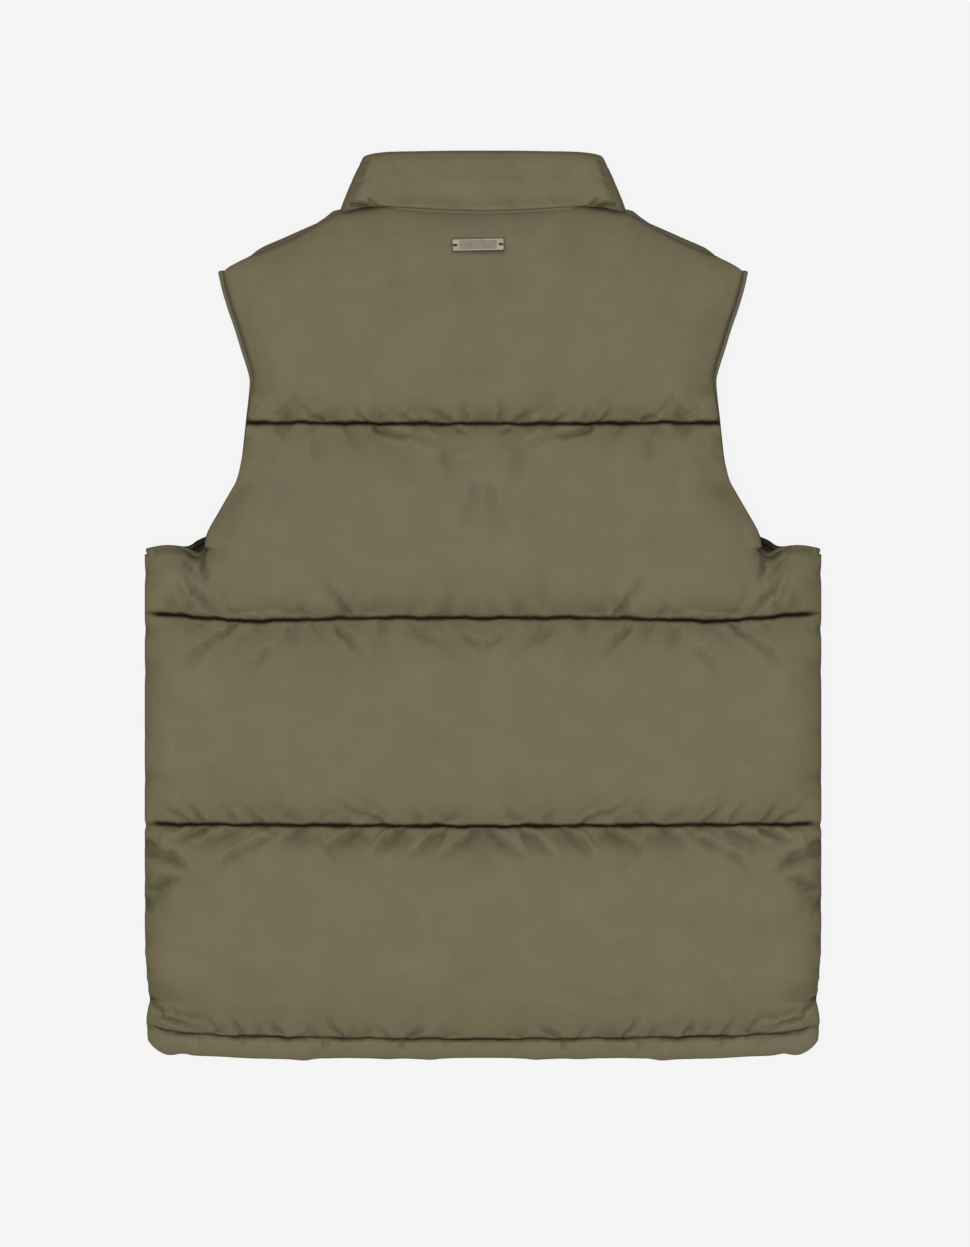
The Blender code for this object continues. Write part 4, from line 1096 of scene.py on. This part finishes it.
def front_inside(across, up):
    """The face under the back, with the roll along the shoulder and the hollow at the armhole's corner."""
    across = np.abs(across)
    plain = inside_height(up) - LAYER_GAP / 2
    beyond_back = ramp(up - level(back_panel.lines[5], across), 1.5)
    to_top = np.sqrt(ramp(level(front_top, across) - up, 2))
    ends = ramp(across - ROLL_START, 6) * ramp(ROLL_END - across, 8)
    hollow = HOLLOW_DEPTH * fade(np.hypot(across - HOLLOW_ACROSS, up - HOLLOW_UP), HOLLOW_RADIUS)
    spare = np.maximum(0, plain - front_height(across, up) - EDGE)
    return plain + ROLL_HEIGHT * beyond_back * to_top * ends - np.minimum(hollow, 0.6 * spare)


front_grid = (front_rows, front_under, ZIP_HALF_GAP, front_columns, front_side_columns)
front_blocks = dressed_half(front_panel, front_grid, FRONT_SETTLE_ROWS, front_height, -1)
for block in front_blocks:
    block[..., 2] = np.maximum(block[..., 2], 0)
for hand, name in ((-1, "left"), (1, "right")):
    blocks = [block * (hand, 1, 1) for block in front_blocks]
    front = padded_piece(f"front_{name}_shell", (blocks,), front_inside, hand > 0, FRONT_INSIDE_STEP)
    seam_shade(front_panel, front, -1)
    # Painted shade in the hollow at the armhole's corner, and on the roll past the back's shoulder seam
    across, up, _ = vertex_places(front).T
    shade_in_hollow = fade(np.hypot(np.abs(across) - HOLLOW_ACROSS, up - HOLLOW_UP), HOLLOW_SHADE, 4)
    beyond = up - level(back_panel.lines[5], across)
    shade_on_roll = ROLL_SHADE * np.clip(beyond + 0.8, 0, 1) * (np.abs(across) > ROLL_START - 8)
    darken(front, np.maximum(shade_in_hollow, shade_on_roll))
    front.data.materials.append(shell_cloth)
    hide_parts(f"front_{name}")
    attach(front, "vest")


# ---- Armhole bindings ------------------------------------------------------------------------------------
# A strip of the shell cloth folded round each armhole's raw edges and sewn through. It runs down the back's
# edge, turns under the arm at the side fold, and runs back up the front's edge to the shoulder tip.
BINDING_THICKNESS = 3.6
BINDING_STEP = 1.8
BINDING_END = 273.2         # across, where it turns at the side fold
STRIP = 0.45                # thickness of the folded cloth
STRIP_OPENING = 150         # degrees from the outer edge round to each lip
STRIP_LIP = 1.2             # how far the lips reach in over the panels' edges
SECTION_POWER = 0.7         # how square the folded strip's section is
BINDING_SHADE = 12.0        # reach of the painted shade where the armhole opens
STRIP_TURNS = 17            # points round each face of the folded strip
STRIP_COVERED_UP, STRIP_COVERED_SHADE = 570, 0.55   # where the padding rolls over the strip, and how dark the painted shade is there

# A darker olive than the shell's: painted shade on the strip's rounded face
BINDING_SHADED_GREEN, BINDING_SHADED_WARM = (0.122, 0.116, 0.072), (0.128, 0.117, 0.072)
shaded_binding_cloth = cloth_material("shaded_binding_cloth", BINDING_SHADED_GREEN, BINDING_SHADED_WARM, 0.0005, 0.62, 0.012, 0.0003)


def binding_run(armhole, underarm, rise):
    """One run of the binding's middle from shoulder tip to side fold, and the ways out from the panel."""
    line = offset(smooth(armhole + underarm, 601), BINDING_WIDTH / 2)
    line = line[: np.flatnonzero(line[:, 0] > BINDING_END)[0]]
    length = np.linalg.norm(np.diff(line, axis=0), axis=1).sum()
    line = smooth(np.vstack([line[:-6:9], line[-1:]]), int(length / BINDING_STEP))
    along = unit(np.gradient(line, axis=0))
    out = np.column_stack([-along[:, 1], along[:, 0], np.zeros(len(line))])
    height = inside_height(line[:, 1]) + rise * (LAYER_GAP + BINDING_THICKNESS) / 2
    return np.column_stack([line, height]), out


def half_turn(start, before, end):
    """Points of a half circle from the end of one run to the start of the next."""
    ahead = (start - before) / np.linalg.norm(start - before)
    swing = (start - end) / 2
    angles = np.linspace(0, math.pi, 9)[1:-1, None]
    return (start + end) / 2 + swing * np.cos(angles) + ahead * np.linalg.norm(swing) * np.sin(angles)


def section_point(degrees, half_width, half_height):
    turn = np.radians(degrees)
    shape = np.stack([np.cos(turn), np.sin(turn)], axis=-1)
    return np.sign(shape) * np.abs(shape) ** SECTION_POWER * (half_width, half_height)


def point_numbers(rings, taken=0):
    """Numbers of a skin's points, which stand in rings of equal size."""
    return taken + np.arange(rings.shape[0] * rings.shape[1]).reshape(rings.shape[:2])


def closed_skin(index, turned=False):
    """Faces of a skin whose rows of points are closed rings, capped at both ends."""
    faces = quads(np.hstack([index, index[:, :1]])).tolist() + [index[0, ::-1].tolist(), index[-1].tolist()]
    return [face[::-1] for face in faces] if turned else faces


back_run, back_out = binding_run(BACK_ARMHOLE, BACK_UNDERARM, 1)
front_run, front_out = [run[::-1] for run in binding_run(FRONT_ARMHOLE, FRONT_UNDERARM, -1)]
side_turn = half_turn(back_run[-1], back_run[-2], front_run[0])
tip_turn = half_turn(front_run[-1], front_run[-2], back_run[0])
path = np.vstack([back_run, side_turn, front_run, tip_turn])
outward = np.vstack([
    back_out, np.repeat(back_out[-1:], len(side_turn), axis=0),
    front_out, np.repeat(front_out[-1:], len(tip_turn), axis=0),
])
ahead = unit(np.roll(path, -1, axis=0) - np.roll(path, 1, axis=0))
outward -= ahead * (outward * ahead).sum(axis=1)[:, None]
outward = unit(outward)
rise = np.cross(ahead, outward)
run = run_length(path)
round_strip = np.linspace(-STRIP_OPENING, STRIP_OPENING, STRIP_TURNS)
outer_face = section_point(round_strip, BINDING_WIDTH / 2, BINDING_THICKNESS / 2)
inner_face = section_point(round_strip[::-1], BINDING_WIDTH / 2 - STRIP, BINDING_THICKNESS / 2 - STRIP)
for face in (outer_face, inner_face):
    face[[0, -1], 0] -= STRIP_LIP
section = np.vstack([outer_face, inner_face])
ripple = 1 + 0.05 * np.sin(run / 1.9) + 0.05 * np.sin(run / 4.3 + 1.0) + 0.04 * np.sin(run / 9.7)
strip_points = (
    path[:, None, :]
    + section[None, :, :1] * outward[:, None, :]
    + section[None, :, 1:] * ripple[:, None, None] * rise[:, None, :]
)
index = point_numbers(strip_points)
index = np.vstack([index, index[:1]])
strip_faces = quads(np.hstack([index, index[:, :1]]))
for hand, name in ((-1, "left"), (1, "right")):
    points = (strip_points * (hand, 1, 1)).reshape(-1, 3)
    faces = strip_faces[:, ::-1] if hand > 0 else strip_faces
    binding = cloth_object(f"armhole_binding_{name}_strip", points, faces.tolist())
    # Painted shade where the armhole opens between its bindings, deepest on the front's run, and under the
    # padding's roll
    across, up = np.abs(points[:, 0]), points[:, 1]
    under = points[:, 2] < inside_height(up)
    to_hollow = np.hypot(across - HOLLOW_ACROSS, up - HOLLOW_UP - 2)
    shade_in_hollow = np.where(under, 1.0, 0.85) * fade(to_hollow, np.where(under, 1.6, 1.0) * BINDING_SHADE, 4)
    covered = STRIP_COVERED_SHADE * ramp(STRIP_COVERED_UP - up, 40) * (up > HOLLOW_UP + 8)
    mark(binding, "painted_shade", np.maximum(shade_in_hollow, covered))
    binding.data.materials.append(shaded_binding_cloth)
    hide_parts(f"armhole_binding_{name}")
    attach(binding, "vest")


# ---- Collar ----------------------------------------------------------------------------------------------
# One padded band that stands up when worn. Laid flat it runs across the back of the neck, folds at both sides
# and comes back underneath to the zip. Its top edge is turned in and topstitched.
COLLAR_BACK = (  # base across, base up, top across, top up
    (0.0, 694.65, 0.0, 745.4),
    (35.0, 695.75, 30.0, 745.3),
    (62.0, 697.5, 53.0, 744.9),
    (78.0, 698.4, 67.0, 744.7),
    (92.0, 698.6, 80.0, 744.2),
    (105.2, 698.4, 90.4, 742.9),
    (113.0, 698.0, 95.4, 741.6),
)
COLLAR_FRONT = (
    (113.0, 698.0, 95.4, 741.6),
    (105.6, 690.2, 89.0, 731.5),
    (92.0, 675.3, 77.0, 719.0),
    (72.0, 652.4, 61.0, 702.0),
    (48.0, 632.6, 42.0, 686.5),
    (26.0, 623.4, 22.0, 675.5),
    (6.0, 620.0, 6.0, 671.5),
)
COLLAR_EDGE, COLLAR_CROWN, COLLAR_FOLD = 4.2, 10.0, 5.4
COLLAR_POWER = 2.2
FOLD_FOOT, FOLD_CORNER = 3.4, 5.4           # how far the folds reach down, and how round their corners are
BACK_LENGTH, FRONT_LENGTH = 111.6, 130      # of half the collar, from the folds to the middle and to the zip
FILL_BY_LEAN, FILL_BY_WAY = 0.55, 0.45      # parts of the fill: where the band lies flat, and off its folds
TOPSTITCH = 0.885           # share of the collar's height
TOPSTITCH_DEPTH, TOPSTITCH_REACH = 0.5, 0.03
COLLAR_UNEVEN = 0.35
COLLAR_STATIONS, COLLAR_TURNS, COLLAR_SHARES = 80, 13, 40
# Folds in the collar's back, in the same columns as the panels'
COLLAR_FOLDS = (
    (108, 701.4, 84, 700.2, 0.9, 1.1, 5.2),
    (93, 704.2, 86, 700.6, 1.0, 1.0, 3.0),
    (112, 708, 104, 716, 4.0, 3.0, 1.4),
    (103, 718, 94, 722, 2.6, 2.6, 1.4),
    (101, 726, 94, 738, 3.0, 2.4, 1.8),
    (60, 703, 52, 712, 3.0, 6.0, 0.6),
    (24, 700, 20, 710, 3.0, 6.0, 0.6),
    (70, 730, 56, 722, 5.0, 8.0, 0.7),
    (30, 724, -12, 728, 6.0, 9.0, 0.6),
)
COLLAR_BASE_LIFT, COLLAR_BASE_REACH = 4.6, 7.0      # the padding runs on into the yoke at the middle
# How dark the painted shade is on the collar
TOP_SHADE = 0.28            # of the rolled top edge, which is widest at the middle
SIDE_SHADE = 0.30           # of the folds at both sides
SEAM_SHADE = 0.75           # of the neck seam, towards the sides

half_back, half_front = smooth(COLLAR_BACK, COLLAR_STATIONS), smooth(COLLAR_FRONT, COLLAR_STATIONS)
stations = np.vstack([half_back, np.repeat(half_back[-1:], COLLAR_TURNS, axis=0), half_front])
turning = np.linspace(90, -90, COLLAR_TURNS + 2)[1:-1]
lean = np.radians(np.concatenate([np.full(COLLAR_STATIONS, 90.0), turning, np.full(COLLAR_STATIONS, -90.0)]))
from_fold = np.concatenate([
    np.linspace(BACK_LENGTH, 0, COLLAR_STATIONS), np.zeros(COLLAR_TURNS),
    np.linspace(0, FRONT_LENGTH, COLLAR_STATIONS),
])
stations[:, 1] -= FOLD_FOOT * fade(from_fold, 10)
stations[:, 3] -= FOLD_CORNER * (1 - np.abs(np.sin(lean))) ** 0.8
fill = FILL_BY_LEAN * np.abs(np.sin(lean)) ** 3 + FILL_BY_WAY * ramp(from_fold, 16)
shares = np.append(crowded(COLLAR_SHARES, 0.75), 1.0)
crown = COLLAR_FOLD + (COLLAR_CROWN - COLLAR_FOLD) * fill
base, top = stations[:, None, :2], stations[:, None, 2:]
band = base + (top - base) * shares[None, :, None]
collar_across, collar_up = band[..., 0], band[..., 1]
over_base = np.linalg.norm(top - base, axis=2) * shares
on_back = np.clip(np.sin(lean), 0, 1)[:, None]
in_middle = ramp(NECK_END - np.abs(collar_across), 25)
relief = fold_relief(COLLAR_FOLDS, collar_across, collar_up)
wall = COLLAR_EDGE + (crown[:, None] - COLLAR_EDGE) * puff(shares, COLLAR_POWER)[None, :]
wall -= relief * on_back
wall += COLLAR_BASE_LIFT * fade(over_base, COLLAR_BASE_REACH) * in_middle * on_back
wall -= TOPSTITCH_DEPTH * fade(shares - TOPSTITCH, TOPSTITCH_REACH)[None, :]
wall += COLLAR_UNEVEN * wobble(from_fold, 0.4)[:, None] * np.sin(math.pi * shares)[None, :]


def collar_skin(band, away):
    """Points at a distance from the collar's middle layer, on the side that the band leans to."""
    height = inside_height(band[..., 1]) + away * np.sin(lean)[:, None]
    return np.dstack([band[..., 0] + away * np.cos(lean)[:, None], band[..., 1], height])


outside = collar_skin(band, LAYER_GAP / 2 + wall)
outside[..., 1] -= bulge(over_base, top_lip(collar_across)) * on_back
lining = collar_skin(base + (top - base) * np.array((1.0, 0.5, 0.0))[None, :, None], LAYER_GAP / 2 + 0.1)
half_collar = np.concatenate([outside, lining], axis=1)
whole = np.concatenate([half_collar[:0:-1] * (-1, 1, 1), half_collar])
collar = cloth_object("collar_band", whole.reshape(-1, 3), closed_skin(point_numbers(whole), True))
# Painted shade at the neck seam, along the top edge, on the side folds and in the creases; none underneath
at_seam = fade(over_base, 1.5) * SEAM_SHADE * ramp(collar_across - 70, 26)
top_width = 2.4 + 2.2 * fade(collar_across, 34)
at_top = TOP_SHADE * fade((top - base)[..., 1] - over_base, top_width, 4)
at_side = SIDE_SHADE * fade(np.minimum(from_fold, 50), 7.0, 4)[:, None]
creases = CREASE_SHADE * ramp(relief, CREASE_FULL)
shade = np.maximum.reduce([at_seam, at_top, at_side * np.ones_like(over_base), creases])
shade *= np.clip(np.sin(lean) + 0.7, 0, 1)[:, None]
shade = np.concatenate([shade, np.zeros((len(shade), 3))], axis=1)
mark(collar, "painted_shade", np.concatenate([shade[:0:-1], shade]).ravel())
collar.data.materials.append(shell_cloth)
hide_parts("collar")
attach(collar, "vest")


# ---- Zip -------------------------------------------------------------------------------------------------
# A closed open-ended zip at the centre front: two woven tapes with moulded teeth locked over their edges, a
# retainer box at the hem, top stops, a metal slider at the collar and a tab that hangs on the slider's bail.
TAPE_INNER, TAPE_SPLAY = 0.5, 1.6
TAPE_THICKNESS, TAPE_DEPTH = 1.1, 2.6
TAPE_START, TAPE_END, TAPE_STEP = 3.0, 670.0, 4.0
TAPE_COLUMNS = 7
TAPE_CORD = 0.35            # how far the corded edge stands out under the teeth
TAPE_BROWN, TAPE_WARM = (0.092, 0.081, 0.054), (0.098, 0.085, 0.056)
SLIDER_UP, SLIDER_LENGTH = 658.0, 11.0
TOOTH_PITCH = 2.5
TOOTH_ACROSS, TOOTH_ALONG, TOOTH_THROUGH = 1.5, 0.62, 0.8   # half sizes
TOOTH = (  # half a tooth in shares of those sizes: a body on the tape's edge and a wider head past the centre
    (-1.0, 0.75), (0.15, 0.75), (0.45, 1.0), (1.0, 1.0),
)
TOOTH_PLACE = 0.85          # from the centre to the middle of a tooth
TOP_STOP = ((-1.1, -1.4), (1.1, -1.4), (1.1, 1.4), (-1.1, 1.4))
BOX = ((-3.0, -3.6), (-2.4, -4.2), (2.4, -4.2), (3.0, -3.6), (3.0, 3.8), (-3.0, 3.8))
BOX_UP = TAPE_START + 5.0

tape_cloth = cloth_material("woven_zip_tape", TAPE_BROWN, TAPE_WARM, 0.0007, 0.82, 0.01, 0.0002)
ups = np.append(np.arange(TAPE_START, TAPE_END, TAPE_STEP), TAPE_END)
splay = ramp(ups - SLIDER_UP + SLIDER_LENGTH / 2 + 1, 3)
inner_edge = TAPE_INNER + (TAPE_SPLAY - TAPE_INNER) * splay
tape_shares = np.linspace(0, 1, TAPE_COLUMNS)
across = inner_edge[:, None] + (ZIP_HALF_GAP - SEAM_GAP - inner_edge)[:, None] * tape_shares
half_tape = TAPE_THICKNESS / 2 - TAPE_CORD * (1 - fade(tape_shares, 0.12))
middle = np.dstack(np.broadcast_arrays(across, ups[:, None], inside_height(ups)[:, None] - TAPE_DEPTH))
upper, lower = middle.copy(), middle.copy()
upper[..., 2] += half_tape
lower[..., 2] -= half_tape
tape_points = np.concatenate([upper, lower[:, ::-1]], axis=1)
for hand, name in ((-1, "left"), (1, "right")):
    points = (tape_points * (hand, 1, 1)).reshape(-1, 3)
    skin = closed_skin(point_numbers(tape_points), hand > 0)
    tape = cloth_object(f"zip_tape_{name}_woven", points, skin)
    tape.data.materials.append(tape_cloth)
    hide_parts(f"zip_tape_{name}")
    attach(tape, "vest")


def moulded(outline, centre, through):
    """Rings of points of a small moulded shape with softened faces, from its outline in the zip's plane."""
    outline = np.array(outline)
    middle = outline.mean(axis=0)
    rings = [
        np.column_stack([middle + (outline - middle) * size, np.full(len(outline), lift * through)])
        for lift, size in ((-1.0, 0.8), (-0.6, 1.0), (0.6, 1.0), (1.0, 0.8))
    ]
    return np.array(rings) + centre


def zip_height(up):
    return float(inside_height(up)) - TAPE_DEPTH


shapes = []
whole_tooth = np.array([(x, -y) for x, y in TOOTH] + [(x, y) for x, y in TOOTH[::-1]])
for hand in (-1, 1):
    outline = (whole_tooth * (-hand * TOOTH_ACROSS, TOOTH_ALONG))[::-hand]
    for up in np.arange(TAPE_START + 10 + (hand + 1) * TOOTH_PITCH / 4, TAPE_END - 3, TOOTH_PITCH):
        past = float(np.interp(up, ups, inner_edge)) - TAPE_INNER
        place = (hand * (TOOTH_PLACE + past), up, zip_height(up))
        shapes.append(moulded(outline, place, TOOTH_THROUGH))
    place = (hand * (TAPE_SPLAY + 0.6), TAPE_END - 1.6, zip_height(TAPE_END))
    shapes.append(moulded(TOP_STOP, place, 1.0))
shapes.append(moulded(BOX, (0.0, BOX_UP, zip_height(BOX_UP)), 1.35))


def joined(name, skins, turned):
    """One object from many closed skins."""
    faces, taken = [], 0
    for rings in skins:
        index = point_numbers(rings, taken)
        faces += closed_skin(index, turned)
        taken += index.size
    return cloth_object(name, np.vstack([rings.reshape(-1, 3) for rings in skins]), faces)


teeth = joined("zip_teeth", shapes, False)
teeth.data.set_sharp_from_angle(angle=math.radians(35))
resin, tree, shader = material("moulded_resin")
flow = noise(tree, on_piece(tree), 900.0, 2.0)
feed(shader, {
    "Base Color": tinted(tree, flow, (0.078, 0.069, 0.044, 1.0), (0.096, 0.084, 0.055, 1.0)),
    "Roughness": maths(tree, "ADD", maths(tree, "MULTIPLY", flow, 0.15), 0.32),
})
teeth.data.materials.append(resin)
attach(teeth, "vest")

# Cast metal: close shades in small clouds, rubbed brighter where it is worn, over a faint cast skin
cast, given, result = group(
    "cast_metal",
    (
        ("Colour", "NodeSocketColor", (0.3, 0.28, 0.25, 1.0)),
        ("Rubbed", "NodeSocketColor", (0.5, 0.47, 0.43, 1.0)),
        ("Roughness", "NodeSocketFloat", 0.3),
    ),
    (("Colour", "NodeSocketColor"), ("Roughness", "NodeSocketFloat"), ("Height", "NodeSocketFloat")),
)
grain = noise(cast, on_piece(cast), 2600.0, 2.0)
rubbed = widened(cast, noise(cast, on_piece(cast), 240.0, 4.0), 0.4, 0.7)
feed(result, {
    "Colour": tinted(cast, rubbed, given["Colour"], given["Rubbed"]),
    "Roughness": maths(cast, "ADD", maths(cast, "MULTIPLY", grain, 0.2), given["Roughness"]),
    "Height": grain,
})


def metal_material(name, colour, rubbed, roughness, grain_depth):
    made, tree, shader = material(name)
    values = {"Colour": (*colour, 1.0), "Rubbed": (*rubbed, 1.0), "Roughness": roughness}
    finish = node(tree, "Group", values, node_tree=cast).outputs
    skin = node(tree, "Bump", {"Height": finish["Height"], "Strength": 1.0, "Distance": grain_depth})
    feed(shader, {
        "Base Color": finish["Colour"], "Roughness": finish["Roughness"], "Metallic": 1.0,
        "Normal": skin.outputs[0],
    })
    return made


def soften(piece, width):
    """Rounds a metal piece's edges."""
    rounded = piece.modifiers.new("rounded_edges", "BEVEL")
    rounded.width = width * MM
    rounded.segments = 2
    rounded.limit_method = "ANGLE"
    rounded.harden_normals = True


zip_metal = metal_material("dull_zip_metal", (0.20, 0.185, 0.165), (0.34, 0.32, 0.29), 0.3, 0.00002)
for name in ("zip_slider", "zip_pull"):
    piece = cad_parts[name]
    piece.data.materials.clear()
    piece.data.materials.append(zip_metal)
    soften(piece, 0.18)


# ---- Plate -----------------------------------------------------------------------------------------------
# A small cast metal plate with a raised rim and a slot at each end. Thread through the slots ties it to the
# yoke, just left of the middle. Its field is bare.
RIM_WIDTH, RIM_HEIGHT = 0.95, 0.4
END_LENGTH = 5.5            # flat end of the plate, outside its field
SLOT_LENGTH, SLOT_WIDTH = 3.4, 2.1
SLOT_FROM_END = 2.2
PLATE_CORNER = 0.8

plate_metal = metal_material("plate_rim_metal", (0.33, 0.29, 0.23), (0.41, 0.36, 0.29), 0.5, 0.00003)
field_metal = metal_material("plate_field_metal", (0.235, 0.195, 0.17), (0.28, 0.235, 0.20), 0.5, 0.00003)


def in_plate(x, y, z):
    return plate_centre + plate_along * x + plate_wide * y + plate_out * z


def rounded_slab(name, length, width, bottom, top, corner, across=0.0):
    """An upright slab with round corners, in the plate's own directions."""
    ring = []
    for x, y, start in ((1, 1, 0), (-1, 1, 90), (-1, -1, 180), (1, -1, 270)):
        for turn in np.radians(np.linspace(start, start + 90, 5)):
            ring.append((
                across + x * (length / 2 - corner) + corner * math.cos(turn),
                y * (width / 2 - corner) + corner * math.sin(turn),
            ))
    points = [in_plate(x, y, z) for z in (bottom, top) for x, y in ring]
    return cloth_object(name, np.array(points), closed_skin(np.arange(2 * len(ring)).reshape(2, -1)))


def carve(piece, cutters):
    """Takes the cutters' shapes out of the piece, for good."""
    for cutter in cutters:
        cut = piece.modifiers.new("cut", "BOOLEAN")
        cut.operation = "DIFFERENCE"
        cut.object = cutter
    carved = bpy.data.meshes.new_from_object(piece.evaluated_get(bpy.context.evaluated_depsgraph_get()))
    piece.modifiers.clear()
    piece.data = carved
    for cutter in cutters:
        bpy.data.objects.remove(cutter)


plate_top = SEAM_GAP + PLATE_THICKNESS
plate = rounded_slab("plate", PLATE_LENGTH, PLATE_WIDTH, SEAM_GAP, plate_top, PLATE_CORNER)
slot_place = PLATE_LENGTH / 2 - SLOT_FROM_END
field_length, field_width = PLATE_LENGTH - 2 * END_LENGTH, PLATE_WIDTH - 2 * RIM_WIDTH
field_height = plate_top - RIM_HEIGHT
cutters = [rounded_slab("field", field_length, field_width, field_height, plate_top + 1, 0.5)]
for end in (-1, 1):
    cutters.append(rounded_slab("slot", SLOT_LENGTH, SLOT_WIDTH, -1, plate_top + 1, 0.6, end * slot_place))
carve(plate, cutters)
plate.data.materials.clear()
plate.data.materials.append(plate_metal)
plate.data.materials.append(field_metal)
for face in plate.data.polygons:
    away = np.array(face.center) / MM + (0, LENGTH / 2, 0) - plate_centre
    at_height = abs(away @ plate_out - plate_top + RIM_HEIGHT) < 0.05
    within = abs(away @ plate_along) < PLATE_LENGTH / 2 - END_LENGTH
    face.material_index = 1 if at_height and within else 0
plate.data.shade_smooth()
plate.data.set_sharp_from_angle(angle=math.radians(40))
soften(plate, 0.15)
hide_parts("back_plate")
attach(plate, "vest")


# ---- Sewing ----------------------------------------------------------------------------------------------
# Polyester thread: the quilt and hem lines of the panels, the edges of the bindings, the collar's topstitching,
# and the strands that tie the plate down. Each stitch is a short strand whose ends dip into the cloth.
STITCH_PITCH, STITCH_LENGTH, STITCH_RADIUS = 3.2, 2.5, 0.23
STITCH_DIP = 0.45
STRAND_SIDES = 5
TIE_RADIUS = 0.24
TIE = ((-1.0, -0.6), (-0.4, 0.9), (0.6, 1.75), (1.5, 1.75), (2.6, 0.9), (2.9, -0.6))    # along, out

thread, tree, shader = material("polyester_thread")
plies = node(
    tree, "TexWave", {"Scale": 1400.0, "Distortion": 0.5, "Vector": on_piece(tree)}, bands_direction="DIAGONAL",
)
tint = tinted(tree, plies.outputs[1], (0.045, 0.038, 0.024, 1.0), (0.075, 0.064, 0.042, 1.0))
feed(shader, {"Base Color": tint, "Roughness": 0.55})


def strand(points, radius):
    """Points of a round strand along a few places."""
    points = np.array(points, float)
    ahead = unit(np.gradient(points, axis=0))
    upright = np.array((0.0, 0.0, 1.0)) if np.abs(ahead[:, 2]).max() < 0.95 else np.array((1.0, 0.0, 0.0))
    aside = unit(np.cross(ahead, upright))
    lift = np.cross(aside, ahead)
    turns = np.linspace(0, 2 * math.pi, STRAND_SIDES, endpoint=False)[None, :, None]
    return points[:, None] + (aside[:, None] * np.cos(turns) + lift[:, None] * np.sin(turns)) * radius


def sewing(name, strands):
    """One piece of sewing from many strands of thread."""
    made = joined(name, strands, True)
    made.data.materials.append(thread)
    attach(made, "vest")


def stitches(line, facing):
    """Stitches along a line of points; facing is the way that the cloth faces at each of them."""
    run = run_length(line)
    found = []
    for start in np.arange(STITCH_PITCH / 2, run[-1] - STITCH_PITCH, STITCH_PITCH):
        at = start + STITCH_LENGTH * np.array((0, 0.18, 0.5, 0.82, 1))
        points = np.column_stack([np.interp(at, run, line[:, k]) for k in range(3)])
        way = np.array([np.interp(start, run, facing[:, k]) for k in range(3)])
        points[[0, -1]] -= way * STITCH_DIP
        found.append(strand(points, STITCH_RADIUS))
    return found


def quilting(panel, inner, hands, height, way):
    """Stitches at the bottom of each quilt line and along the hem."""
    found = []
    for line in panel.lines[1:5]:
        reach, end_up = line[-1]
        if end_up > panel.corner:
            reach = panel.armhole_across(end_up)
        across = np.arange(inner + 2, float(reach) - 6, 2.0)
        up = level(line, across)
        bottom = height(across, up) + way * 0.1
        for hand in hands:
            points = np.column_stack([hand * across, up + SEAM_WOBBLE * wobble(across, 1.7), bottom])
            found += stitches(points, np.tile((0.0, 0.0, way), (len(points), 1)))
    return found


sewing("back_quilting", quilting(back_panel, 0.0, (-1, 1), back_height, 1.0))
collar_line = outside[:, int(np.argmin(np.abs(shares - TOPSTITCH)))]
collar_facing = np.column_stack([np.cos(lean), np.zeros(len(lean)), np.sin(lean)])
collar_stitches = []
for hand, name in ((-1, "left"), (1, "right")):
    sewing(f"front_{name}_quilting", quilting(front_panel, ZIP_HALF_GAP, (hand,), front_height, -1.0))
    bound = []
    for line, out, way in ((back_run, back_out, 1.0), (front_run, front_out, -1.0)):
        seam = line - out * 0.9
        seam[:, 2] += way * (BINDING_THICKNESS / 2 + 0.02)
        bound += stitches(seam * (hand, 1, 1), np.tile((0.0, 0.0, way), (len(seam), 1)))
    sewing(f"armhole_binding_{name}_sewing", bound)
    collar_stitches += stitches(collar_line * (hand, 1, 1), collar_facing * (hand, 1, 1))
sewing("collar_topstitching", collar_stitches)

ties = []
for end in (-1, 1):
    for y in (-0.45, 0.0, 0.45):
        ties.append(strand([in_plate(end * (slot_place + x), y, z) for x, z in TIE], TIE_RADIUS))
sewing("plate_ties", ties)
